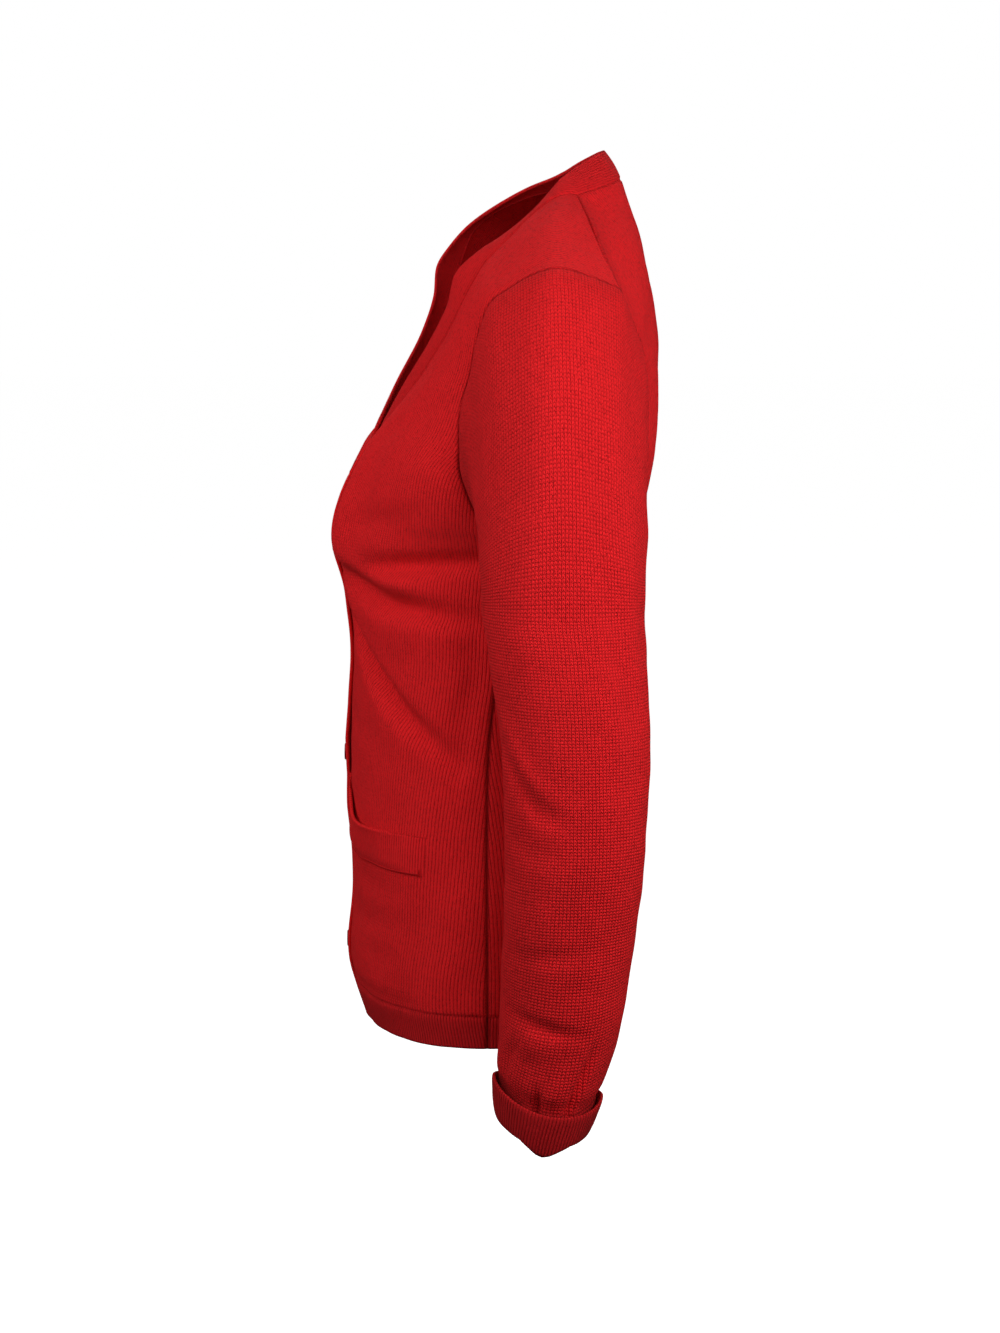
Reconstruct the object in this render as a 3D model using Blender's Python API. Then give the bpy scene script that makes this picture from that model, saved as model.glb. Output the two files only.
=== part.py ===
"""Women's V-neck button cardigan in fine knit, standing hollow as it is worn.

Lengths are metres, Z is up, the front faces -Y and the wearer's left is +X. The origin is
midway between the shoulder tips, at the height where the wearer's shoulders hold the garment.
Tables are in millimetres, and mm() turns them into metres where they are read.
"""

from math import ceil

import bmesh
import bpy
import numpy as np
from mathutils import Matrix, Vector

# ---------------------------------------------------------------- driving dimensions
WALL = 0.0020  # fine knit of the panels and sleeves
BAND_WALL = 0.0025  # doubled rib of the neck, button and hem bands
SEAM_GAP = 0.0005  # space between two pieces that are sewn or lie together
BAND_WIDTH = 0.030  # button bands
BUTTON_COUNT = 6
BUTTON_TOP = -0.160  # height of the highest button
BUTTON_PITCH = 0.0667
BUTTON_RADIUS = 0.0060
BUTTON_DEPTH = 0.0028
BUTTON_HOLE = 0.0007  # radius of the four thread holes
BUTTON_HOLE_OUT = 0.0013  # their distance from the middle, across and up
BUTTON_STAND = 0.0008  # thread shank between a button's back and the band
NECK_ROUND = 0.0010  # how far the middle of the neck band stands proud
UNDER = 0.0034  # how far the left band lies behind the right one, seen from the front

# ---------------------------------------------------------------- mesh densities
ACROSS_FRONT = 10
ACROSS_BACK_NECK = 4  # cells from the centre back to the neck corner
HEM_CELLS = 1
BODY_CELLS = (2, 4, 4, 2, 3, 3)  # cells between the rows of BODY, hem band top to underarm
UPPER_CELLS = (2, 1) + (1,) * 10  # cells between the rows of UPPER_FRONT
SLEEVE_CAP_CELLS = 5
SLEEVE_CELLS = (1, 1, 2, 2, 2, 1, 2, 2, 1)  # cells between the rows of SLEEVE
BUTTON_SIDES = 14

# ---------------------------------------------------------------- the body below the armholes
# height, centre front y, centre back y, half width at the side seam, side seam y
BODY = (
    (-528.3, -138.0, 47, 195, -47),
    (-507, -144.5, 49, 194, -47),
    (-450, -142.0, 53, 190, -47),
    (-380, -145.5, 54, 180, -47),
    (-320, -144.0, 50, 171, -45),
    (-285, -142.8, 49, 168, -40),
    (-245, -146.6, 53, 166, -29),
)
FRONT_REACH, FRONT_TURN = 0.62, 0.62  # how square a front section is, at its middle and side
BACK_REACH, BACK_TURN = 0.55, 0.60

# ---------------------------------------------------------------- fronts above the underarm
# inner end, pull at the inner end, pull at the outer end, outer end (x, y, z each)
UPPER_FRONT = (
    ((15, -155.9, -205), (95, -0.5, 0), (6, -60, 0), (160, -15, -205)),
    ((15, -150, -178), (90, 4, -3), (6, -45, 0), (160, -45, -187)),
    ((15, -128, -138), (80, 0, -4), (4, -38, 3), (160, -63, -154)),
    ((43, -105, -106), (50, -4, -8), (-10, -28, 8), (155, -65, -134.5)),
    ((70, -82, -74), (28, -8, -10), (-22, -20, 10), (150, -64, -108.5)),
    ((85, -69, -53), (23, -7, -8), (-20, -14, 10), (150, -58, -85.5)),
    ((94, -55, -28), (21, -6, -6), (-20, -8, 10), (155, -52, -59)),
    ((97, -45, -12), (23, -3, -4), (-22, -4, 10), (165, -44, -38)),
    ((95, -32, 2), (25, 0, -2), (-25, 0, 11), (172, -34, -30)),
    ((90, -18, 16), (30, 0, -4), (-30, 0, 13), (182, -19, -20)),
    ((83, -2, 28), (34, 1, -8), (-34, 0, 13), (186, 0, -15)),
    ((76.5, 6, 30.5), (34, 5, -11), (-34, -5, 13), (180, 20, -20.5)),
    ((70, 14, 30), (32, 9, -17), (-32, -9, 17), (165, 41, -29.5)),
)
V_ROW = 2  # the row of UPPER_FRONT where the button band ends and the neck band begins
# free edge of the neck band beside each row of UPPER_FRONT from V_ROW up, and how far the
# right one stands forward of the left one there
NECK_EDGE = (
    (-15, -128, -138),
    (26, -110, -101),
    (55, -87.5, -67),
    (70, -75, -44),
    (77.5, -68.5, -22),
    (80.5, -54, -8),
    (79.5, -37, 3),
    (75.5, -17, 19),
    (69, -4.5, 33),
    (63, 1, 39.5),
    (54, 7.5, 44.5),
)
NECK_LEAN = (0, 1, 6, 11, 15, 20, 27, 25, 13, 3, 0)
# how far the left front's inner edge lies behind the right one's, on the same rows
NECK_UNDER = (3.7, 4.6, 2, 0.5, 0, 0, 0, 0, 0, 0, 0)
# back neck from the neck corner to the centre back: seam, free edge
NECK_BACK = (
    ((70, 14, 30), (54, 7.5, 44.5)),
    ((52, 28, 34), (40, 16.5, 50.5)),
    ((27, 40, 37.5), (21, 28.5, 57)),
    ((0, 45, 39), (0, 33, 59)),
)

# ---------------------------------------------------------------- back above the underarm
NECK_CORNER = 0.070  # distance of the neck corner from the centre
# centre back, pull there, pull at the outer end, outer end
UPPER_BACK = (
    ((0, 56.5, -205), (100, 0, 0), (4, 45, 0), (160, -15, -205)),
    ((0, 61, -176), (100, 0, 0), (0, 30, 0), (157, 22, -192)),
    ((0, 66.5, -140), (90, 1, 0), (-12, 18, 0), (149, 46, -153)),
    ((0, 70, -100), (80, 1, 0), (-28, 10, 2), (141, 57, -108)),
    ((0, 69, -58), (72, 0, -1), (-36, 6, 6), (143, 56, -73)),
    ((0, 63, -20), (68, 0, 0), (-45, 5, 14), (151, 50, -55)),
    ((0, 55, 10), (60, 0, 6), (-74, -27, 58), (159, 45, -41)),
)

# ---------------------------------------------------------------- sleeves
# height, centre x, centre y, half thickness (x), half depth (y), droop of the outer side, fall
# towards the back
SLEEVE = (
    (-235, 222, 2.7, 44, 53.2, 0, 0),
    (-263, 229, 5.6, 43, 51.2, 0, 0),
    (-301, 235, 8.7, 41.5, 49.5, 0, 0),
    (-340, 239, 10, 40.5, 47.7, 0, 0),
    (-379, 241, 10.3, 39.5, 45.6, 0, 0),
    (-418, 241, 8.4, 38, 43.9, 1, 0),
    (-458, 239, 6, 36, 42.4, 4, 0),
    (-498, 237, 1.8, 34, 40.0, 9, 1),
    (-537, 235, -6.2, 32.5, 34.0, 13.5, 4.5),
    (-551, 234.5, -9.0, 32.5, 31.0, 14, 6),
)
# pulls of the sleeve cap, by the way the seam faces: out of the armhole, and up from the ring
CAP_OUT = {"underarm": 10, "front": 24, "top": 34, "back": 20}
CAP_UP = {"underarm": 10, "front": 62, "top": 112, "back": 66}

# ---------------------------------------------------------------- folds
# depth (in is negative), half width, path: distance from the front edge and height on a front,
# distance from the centre on the back, degrees from the outer side and height on a sleeve
FRONT_FOLDS = (
    (-1.2, 10, ((73, -186), (138, -176))),
    (-3.0, 10, ((108, -207), (150, -204), (190, -201))),
    (1.6, 10, ((116, -221), (152, -220))),
    (-2.8, 10, ((36, -219), (72, -226), (117, -233), (172, -242))),
    (1.2, 12, ((90, -258), (150, -268))),
    (-3.0, 10, ((58, -274), (97, -283), (120, -294), (150, -311), (182, -331))),
)
BACK_FOLDS = (
    (-2.4, 12, ((60, -262), (110, -255), (165, -262))),
    (-2.2, 12, ((20, -296), (75, -303), (140, -318))),
    (-1.6, 14, ((-150, -205), (-95, -190))),
    (-2.2, 12, ((-165, -282), (-110, -276), (-40, -284))),
)
SLEEVE_FOLDS = (
    (-1.4, 12, ((20, -130), (23, -190), (35, -235), (44, -285))),
    (2.0, 9, ((-80, -290), (-56, -313), (-40, -337), (-24, -348))),
    (-2.4, 9, ((-66, -330), (-48, -343), (-30, -356), (-5, -362))),
    (-2.2, 9, ((-60, -449), (-42, -446), (-5, -445), (35, -451))),
    (-2.4, 8, ((-70, -488), (-45, -493), (0, -501))),
    (1.8, 8, ((-60, -508), (-10, -514))),
    (-2.0, 10, ((100, -345), (140, -335), (185, -348))),
)
OTHER_SIDE = (0.85, -9)  # depth share and rise in mm of the right side's folds

# ---------------------------------------------------------------- pockets
# columns are counted in cells across a front, heights in mm
POCKET_SIDES = (1.7, 8.0)
WELT_TOP, WELT_BOTTOM = -391, -416.5
WELT_RISE = (24, 11)  # how far its inner end's top and bottom lie above those heights
WELT_LEVEL_FROM = 4.2  # the column from which its edges run level
WELT_GAPE = 5.0  # how far the mouth stands open at its middle
POCKET_SLIT = (3, 8)  # columns between which the front is open behind the welt
BAG_TOP, BAG_BOTTOM = -384, -493
BAG_WALL = 0.0012
BAG_PUFF = 4.0

# section of a turned-back cuff: down along the sleeve and out from its surface
CUFF_SECTION = (
    (0.5, 0),
    (12, 0),
    (12, 0.6),
    (-9.4, 0.6),
    (-10.4, 1.7),
    (-9.4, 3.1),
    (12, 3.1),
    (14, 1.7),
    (14, -0.8),
    (12, -2),
    (0.5, -2),
)
# how far the free edge of the right button band stands forward, by height
BAND_LIFT = (
    (-527, 0.6),
    (-502, 0),
    (-486, 0),
    (-460, 0.3),
    (-434, 0),
    (-420, 0),
    (-396, 0.8),
    (-374, 0),
    (-360, 1.0),
    (-348, 1.8),
    (-325, 0.7),
    (-298, 0),
    (-284, 0),
    (-258, 0.6),
    (-232, 0),
)
# section of a button: share of its radius and of its depth, from the back to the face
BUTTON_SECTION = ((0.90, 0), (1.0, 0.28), (1.0, 0.62), (0.92, 1.0), (0.76, 1.0), (0.66, 0.74))

COLOURS = {
    "knit": (0.56, 0.012, 0.016, 1.0),
    "rib": (0.50, 0.010, 0.014, 1.0),
    "button": (0.20, 0.008, 0.010, 1.0),
}


def mm(values):
    """Millimetres of a table as metres."""
    return np.asarray(values, float) * 0.001


def smooth(keys, cells, spaced_by=None):
    """Rows on a smooth surface through the key rows, with cells[k] steps from key k to key k+1.

    spaced_by is the set of key rows whose mean spacing is used, where it isn't these rows' own.
    """
    keys = np.asarray(keys, float)
    spaced = np.asarray(keys if spaced_by is None else spaced_by, float)
    steps = np.linalg.norm(np.diff(spaced, axis=0), axis=-1).reshape(len(keys) - 1, -1).mean(axis=1)
    knots = np.concatenate([[0.0], np.cumsum(steps)])
    slopes = np.gradient(keys, knots, axis=0)
    rows = [keys[0]]
    for k, count in enumerate(cells):
        length = knots[k + 1] - knots[k]
        for t in np.arange(1, count + 1) / count:
            rows.append(
                (2 * t**3 - 3 * t**2 + 1) * keys[k]
                + (t**3 - 2 * t**2 + t) * length * slopes[k]
                + (3 * t**2 - 2 * t**3) * keys[k + 1]
                + (t**3 - t**2) * length * slopes[k + 1]
            )
    return np.array(rows)


def bezier(points, count=80):
    """Cubic Bezier curve through the first and last of four points."""
    t = np.linspace(0, 1, count + 1)[:, None]
    a, b, c, d = (np.asarray(p, float) for p in points)
    return (1 - t) ** 3 * a + 3 * t * (1 - t) ** 2 * b + 3 * t**2 * (1 - t) * c + t**3 * d


def lengths(line):
    """Distance along a line to each of its points."""
    return np.concatenate([[0.0], np.cumsum(np.linalg.norm(np.diff(line, axis=0), axis=1))])


def divide(line, count):
    """The line's points again, count cells of equal length."""
    along = lengths(line)
    at = np.linspace(0, along[-1], count + 1)
    return np.stack([np.interp(at, along, line[:, k]) for k in range(3)], axis=1)


def body_row(row, inner_x, front):
    """Half section of the body at one height, from the middle to the side seam."""
    height, front_y, back_y, half_width, side_y = row
    middle_y = front_y if front else back_y
    reach, turn = (FRONT_REACH, FRONT_TURN) if front else (BACK_REACH, BACK_TURN)
    return (
        (inner_x, middle_y, height),
        (inner_x + reach * (half_width - inner_x), middle_y, height),
        (half_width, side_y + turn * (middle_y - side_y), height),
        (half_width, side_y, height),
    )


def pulled_row(inner, inner_pull, outer_pull, outer):
    """The four Bezier points of a row that is given by its ends and pulls."""
    return (inner, np.add(inner, inner_pull), np.add(outer, outer_pull), outer)


def front_rows(side):
    """Key rows of a front, in the left-hand frame, each as four Bezier points.

    side is "left", "right", or "plain" for the form that both share.
    """
    rows = [body_row(row, 15, True) for row in BODY]
    rows += [pulled_row(*row) for row in UPPER_FRONT]
    rows = mm(rows)
    first_neck = len(BODY) + V_ROW
    if side == "left":
        rows[:first_neck, 0, 1] += UNDER
        rows[:first_neck, 1, 1] += 0.3 * UNDER
        rows[first_neck:, 0, 1] += mm(NECK_UNDER)
        rows[first_neck:, 1, 1] += 0.3 * mm(NECK_UNDER)
    elif side == "right":
        rows[first_neck:, 0, 1] -= mm(NECK_LEAN)
        rows[first_neck:, 1, 1] -= 0.6 * mm(NECK_LEAN)
    return rows


def neck_edge(side):
    """Free edge of the neck band from the V to the neck corner, at the rows of a front."""
    edge = mm(NECK_EDGE)
    edge[:, 1] += mm(NECK_UNDER) if side == "left" else -mm(NECK_LEAN)
    return smooth(edge, UPPER_CELLS[V_ROW:])


def front_grid(side):
    """Outer points of a front, rows from the hem up and columns from the middle to the side."""
    keys = [divide(bezier(row), ACROSS_FRONT) for row in front_rows(side)]
    plain = [divide(bezier(row), ACROSS_FRONT) for row in front_rows("plain")]
    grid = smooth(keys, (HEM_CELLS,) + BODY_CELLS + UPPER_CELLS, plain)
    flat = np.stack([np.array([lengths(row) for row in grid]), grid[..., 2]], axis=-1) * 1000
    share, rise = (1.0, 0.0) if side == "left" else OTHER_SIDE
    depth = fold_depth(flat, FRONT_FOLDS, share, rise) * fade(grid.shape[1])
    return grid + surface_normals(grid) * depth[..., None]


def back_half(front):
    """Outer points of the left half of the back, from the centre to the side."""
    keys = []
    rows = [body_row(row, 0, False) for row in BODY] + [pulled_row(*row) for row in UPPER_BACK]
    for row in mm(rows):
        line = bezier(row)
        split = np.searchsorted(line[:, 0], NECK_CORNER)
        inner = divide(line[: split + 1], ACROSS_BACK_NECK)
        outer = divide(line[split:], ACROSS_FRONT // 2)
        keys.append(np.concatenate([inner, outer[1:]]))
    neck = smooth(mm([seam for seam, _ in NECK_BACK])[::-1], (2, 2, 2))
    neck = divide(neck, ACROSS_BACK_NECK)
    keys.append(np.concatenate([neck, front[-1, 2::2]]))
    grid = smooth(keys, (HEM_CELLS,) + BODY_CELLS + (1,) * len(UPPER_BACK))
    shared = HEM_CELLS + sum(BODY_CELLS)
    weight = np.linspace(0, 1, grid.shape[1])[:, None]
    for r in range(shared + 1):
        grid[r] += (front[r, -1] - grid[r, -1]) * weight**4
    return grid


def folded_back(grid):
    """The whole back with its folds, columns from the wearer's right to the left."""
    flat = grid[..., [0, 2]] * 1000
    depth = fold_depth(flat, BACK_FOLDS) * fade(grid.shape[1])
    return grid - surface_normals(grid) * depth[..., None]


def ring(row, angle):
    """Points of a sleeve ring. Angle 0 is the outer side, pi/2 the back, pi the underarm."""
    height, x, y, thick, deep, droop, tilt = mm(row)
    outer = np.clip(np.cos(angle), 0, 1) ** 1.3
    inner = np.clip(-np.cos(angle), 0, 1) ** 1.3
    return np.stack(
        [
            x + thick * np.cos(angle),
            y + deep * np.sin(angle),
            height - droop * outer - 0.3 * droop * inner - tilt * np.sin(angle),
        ],
        axis=1,
    )


def fold_depth(flat, folds, share=1.0, rise=0.0):
    """Offsets, in metres, that a set of folds gives at points of a flat piece in millimetres."""
    total = np.zeros(flat.shape[:-1])
    for depth, width, path in folds:
        path = np.array(path, float) + (0, rise)
        nearest = np.full(flat.shape[:-1], np.inf)
        for a, b in zip(path[:-1], path[1:]):
            run = b - a
            t = np.clip(((flat - a) @ run) / (run @ run), 0, 1)
            gap = np.linalg.norm(flat - a - t[..., None] * run, axis=-1)
            nearest = np.minimum(nearest, gap)
        total += depth * share * np.exp(-((nearest / width) ** 2))
    return mm(total)


def surface_normals(grid, closed=False):
    """Unit normals of a grid that point to the left of its rows' direction."""
    along = np.gradient(grid, axis=0)
    across = np.gradient(grid, axis=1)
    if closed:
        across = np.roll(grid, -1, axis=1) - np.roll(grid, 1, axis=1)
    away = np.cross(across, along)
    return away / np.linalg.norm(away, axis=-1, keepdims=True)


def fade(count, cells=1.0):
    """Weights that rise from 0 at both ends of a row to 1 within a number of cells."""
    place = np.arange(count)
    near = np.minimum(place, count - 1 - place) / cells
    return np.clip(near, 0, 1)


def by_side(values, angle):
    """A value that turns smoothly from the underarm by the front and the top to the back."""
    outer, side = np.cos(angle), np.sin(angle)
    back, front = np.clip(side, 0, 1) ** 2, np.clip(-side, 0, 1) ** 2
    top, under = np.clip(outer, 0, 1) ** 2, np.clip(-outer, 0, 1) ** 2
    return mm(
        values["back"] * back + values["front"] * front
        + values["top"] * top + values["underarm"] * under
    )[:, None]


def sleeve_grid(loop, top, share=1.0, rise=0.0):
    """Outer points of a left-hand sleeve: rows down from the armhole, columns round it.

    loop runs from the underarm by the front and the top to the back, and is not closed.
    """
    along = lengths(np.concatenate([loop, loop[:1]]))
    half = along[top]
    angle = np.where(
        along[:-1] <= half,
        np.pi + np.pi * along[:-1] / half,
        2 * np.pi + np.pi * (along[:-1] - half) / (along[-1] - half),
    )
    first = ring(SLEEVE[0], angle)
    out = np.stack([np.ones_like(angle), 0.15 * np.sin(angle), -0.2 + 0 * angle], axis=1)
    up = np.array([0, 0, 1.0])
    a, b = loop, loop + out * by_side(CAP_OUT, angle)
    c, d = first + up * by_side(CAP_UP, angle), first
    cap = []
    for t in np.arange(SLEEVE_CAP_CELLS) / SLEEVE_CAP_CELLS:
        cap.append((1 - t) ** 3 * a + 3 * t * (1 - t) ** 2 * b + 3 * t**2 * (1 - t) * c + t**3 * d)
    grid = np.concatenate([cap, smooth([ring(row, angle) for row in SLEEVE], SLEEVE_CELLS)])
    turn = np.degrees((angle + np.pi) % (2 * np.pi) - np.pi)
    turn = np.broadcast_to(turn, grid.shape[:2])
    depth = 0
    for lap in (0, 360):  # a path may cross the underarm line
        flat = np.stack([turn + lap, grid[..., 2] * 1000], axis=-1)
        depth = depth + fold_depth(flat, SLEEVE_FOLDS, share, rise)
    depth[0] = 0
    depth[-2:] = 0
    return grid - surface_normals(grid, True) * depth[..., None]


# ---------------------------------------------------------------- walls from outer points
class Shell:
    """One piece of cloth as a grid of outer points, still without thickness."""

    def __init__(self, name, grid, wall, outward=1, closed=False, holes=()):
        self.name, self.grid, self.wall = name, np.asarray(grid, float), wall
        self.outward, self.closed, self.holes = outward, closed, set(holes)

    def tangents(self):
        along = np.gradient(self.grid, axis=0)
        if self.closed:
            across = (np.roll(self.grid, -1, axis=1) - np.roll(self.grid, 1, axis=1)) / 2
        else:
            across = np.gradient(self.grid, axis=1)
        return along, across


def key_of(point):
    return tuple(np.round(point, 6))


def shared_normals(shells):
    """Normals at every point, averaged over the cells that meet there, of all the pieces."""
    sums = {}
    for shell in shells:
        grid, columns = shell.grid, shell.grid.shape[1]
        for r in range(len(grid) - 1):
            for c in range(columns if shell.closed else columns - 1):
                d = (c + 1) % columns
                corners = (grid[r, c], grid[r, d], grid[r + 1, d], grid[r + 1, c])
                face = np.cross(corners[2] - corners[0], corners[3] - corners[1]) * shell.outward
                for corner in corners:
                    key = key_of(corner)
                    sums[key] = sums.get(key, 0) + face
    return {key: value / np.linalg.norm(value) for key, value in sums.items()}


def set_back(shell):
    """The grid with each edge moved half a seam gap inwards, square to that edge."""
    along, across = shell.tangents()

    def square(a, b):
        part = (a * b).sum(axis=-1, keepdims=True) / (b * b).sum(axis=-1, keepdims=True)
        out = a - part * b
        return out / np.linalg.norm(out, axis=-1, keepdims=True)

    moved = shell.grid.copy()
    moved[0] += square(along[0], across[0]) * SEAM_GAP / 2
    moved[-1] -= square(along[-1], across[-1]) * SEAM_GAP / 2
    if not shell.closed:
        moved[:, 0] += square(across[:, 0], along[:, 0]) * SEAM_GAP / 2
        moved[:, -1] -= square(across[:, -1], along[:, -1]) * SEAM_GAP / 2
    return moved


def grid_solid(outer, inner, closed, holes):
    """Vertices and faces of the wall between two grids, with a rim round it and each hole."""
    rows, columns = outer.shape[:2]
    cells = [
        (r, c)
        for r in range(rows - 1)
        for c in range(columns if closed else columns - 1)
        if (r, c) not in holes
    ]
    points = np.concatenate([outer.reshape(-1, 3), inner.reshape(-1, 3)])
    half = rows * columns
    faces, edges = [], {}
    for r, c in cells:
        d = (c + 1) % columns
        loop = [r * columns + c, r * columns + d, (r + 1) * columns + d, (r + 1) * columns + c]
        faces.append(loop)
        faces.append([half + i for i in reversed(loop)])
        for a, b in zip(loop, loop[1:] + loop[:1]):
            edges[(a, b)] = edges.get((a, b), 0) + 1
    for a, b in edges:
        if (b, a) not in edges:
            faces.append([b, a, half + a, half + b])
    used = sorted({i for face in faces for i in face})
    place = {old: new for new, old in enumerate(used)}
    return points[used], [[place[i] for i in face] for face in faces]


def material(kind):
    """The Principled material of one kind of cloth or plastic."""
    found = bpy.data.materials.get(kind)
    if found:
        return found
    made = bpy.data.materials.new(kind)
    made.use_nodes = True
    shader = made.node_tree.nodes["Principled BSDF"]
    shader.inputs["Base Color"].default_value = COLOURS[kind]
    shader.inputs["Roughness"].default_value = 0.35 if kind == "button" else 0.85
    shader.inputs["Metallic"].default_value = 0.0
    made.diffuse_color = COLOURS[kind]
    return made


def add_object(name, points, faces, kind):
    """A mesh object with its faces turned outwards."""
    mesh = bpy.data.meshes.new(name)
    mesh.from_pydata([tuple(p) for p in points], [], faces)
    mesh.validate()
    mesh.calc_loop_triangles()
    triangles = np.array([[mesh.vertices[i].co for i in t.vertices] for t in mesh.loop_triangles])
    if np.linalg.det(triangles).sum() < 0:
        mesh.flip_normals()
    mesh.shade_smooth()
    mesh.materials.append(material(kind))
    made = bpy.data.objects.new(name, mesh)
    bpy.context.scene.collection.objects.link(made)
    return made


def make_shell(shell, normals, kind):
    """The piece as a closed wall, its thickness inwards from its outer points."""
    outer = set_back(shell)
    away = np.array([[normals[key_of(p)] for p in row] for row in shell.grid])
    if shell.name.startswith("front"):  # the back has every second point of the shoulder seam
        away[-1, 1::2] = (away[-1, :-1:2] + away[-1, 2::2]) / 2
    if shell.name == "neck_band":  # its ends meet button bands that have no middle point
        away[1, [0, -1]] = (away[0, [0, -1]] + away[2, [0, -1]]) / 2
    points, faces = grid_solid(outer, outer - away * shell.wall, shell.closed, shell.holes)
    return add_object(shell.name, points, faces, kind)


# ---------------------------------------------------------------- the garment
def mirrored(grid):
    return grid * np.array([-1.0, 1.0, 1.0])


def band_grid(seam, width_sign):
    """Button band: across from the front's inner edge to the free edge on the other side."""
    free = seam + np.array([width_sign * BAND_WIDTH, 0, 0])
    if width_sign > 0:
        heights, lift = mm(BAND_LIFT).T
        free[:, 1] -= np.interp(seam[:, 2], heights, lift, right=0)
    return np.stack([seam, free], axis=1)


def cuff(name, sleeve, normals):
    """Turned-back cuff: one closed section carried round the end of a sleeve."""
    end = sleeve[-1]
    down = end - sleeve[-2]
    down /= np.linalg.norm(down, axis=1, keepdims=True)
    out = np.array([normals[key_of(p)] for p in end])
    out -= (out * down).sum(axis=1, keepdims=True) * down
    out /= np.linalg.norm(out, axis=1, keepdims=True)
    section = mm(CUFF_SECTION)
    rows = end[None] + section[:, :1, None] * down + section[:, 1:, None] * out
    count, columns = rows.shape[:2]
    faces = []
    for r in range(count):
        for c in range(columns):
            a, b = (r + 1) % count, (c + 1) % columns
            faces.append([r * columns + c, r * columns + b, a * columns + b, a * columns + c])
    add_object(name, rows.reshape(-1, 3), faces, "rib")


def on_front(grid, away, column, height):
    """Point and outward direction of a front at a column, counted in cells, and a height."""
    rows = np.arange(len(grid))
    below = int(np.clip(np.searchsorted(grid[:, 0, 2], height) - 1, 0, len(rows) - 2))
    up = (height - grid[below, 0, 2]) / (grid[below + 1, 0, 2] - grid[below, 0, 2])
    left = min(int(column), grid.shape[1] - 2)
    right = column - left
    found = []
    for field in (grid, away):
        low = field[below, left] * (1 - right) + field[below, left + 1] * right
        high = field[below + 1, left] * (1 - right) + field[below + 1, left + 1] * right
        found.append(low * (1 - up) + high * up)
    return found[0], found[1] / np.linalg.norm(found[1])


def welt_edges(column):
    """Heights of a welt's top and bottom edge at a column."""
    first = POCKET_SIDES[0]
    rise = np.clip((WELT_LEVEL_FROM - column) / (WELT_LEVEL_FROM - first), 0, 1) ** 1.6
    return WELT_TOP + WELT_RISE[0] * rise, WELT_BOTTOM + WELT_RISE[1] * rise


def pocket_columns():
    """The columns of a welt or bag: the pocket's sides and the front's own columns between."""
    first, last = POCKET_SIDES
    return [first] + list(range(ceil(first), ceil(last))) + [last]


def welt_shell(name, grid, away, side):
    """Pocket welt that lies on a front, its mouth standing open."""
    rows = []
    for step in (0, 0.5, 1):
        row = []
        for column in pocket_columns():
            top, bottom = welt_edges(column)
            place, out = on_front(grid, away, column, mm(bottom + (top - bottom) * step))
            along = (column - POCKET_SIDES[0]) / (POCKET_SIDES[1] - POCKET_SIDES[0])
            gape = mm(WELT_GAPE) * np.sin(np.pi * along) ** 1.5 * step**2
            row.append(place + out * (SEAM_GAP + BAND_WALL + gape))
        rows.append(row)
    rows = np.array(rows)
    return Shell(name, rows if side > 0 else mirrored(rows), BAND_WALL, outward=side)


def bag_shell(name, grid, away, side):
    """Inner layer of a pocket, just behind the front."""
    rows = []
    for step in np.linspace(0, 1, 5):
        row = []
        for column in pocket_columns()[::2] + [POCKET_SIDES[1]]:
            height = mm(BAG_BOTTOM + (BAG_TOP - BAG_BOTTOM) * step)
            place, out = on_front(grid, away, column, height)
            along = (column - POCKET_SIDES[0]) / (POCKET_SIDES[1] - POCKET_SIDES[0])
            puff = mm(BAG_PUFF) * np.sin(np.pi * along) * np.sin(np.pi * step)
            row.append(place - out * (WALL + 2 * SEAM_GAP + puff))
        rows.append(row)
    rows = np.array(rows)
    return Shell(name, rows if side > 0 else mirrored(rows), BAG_WALL, outward=side)


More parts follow.
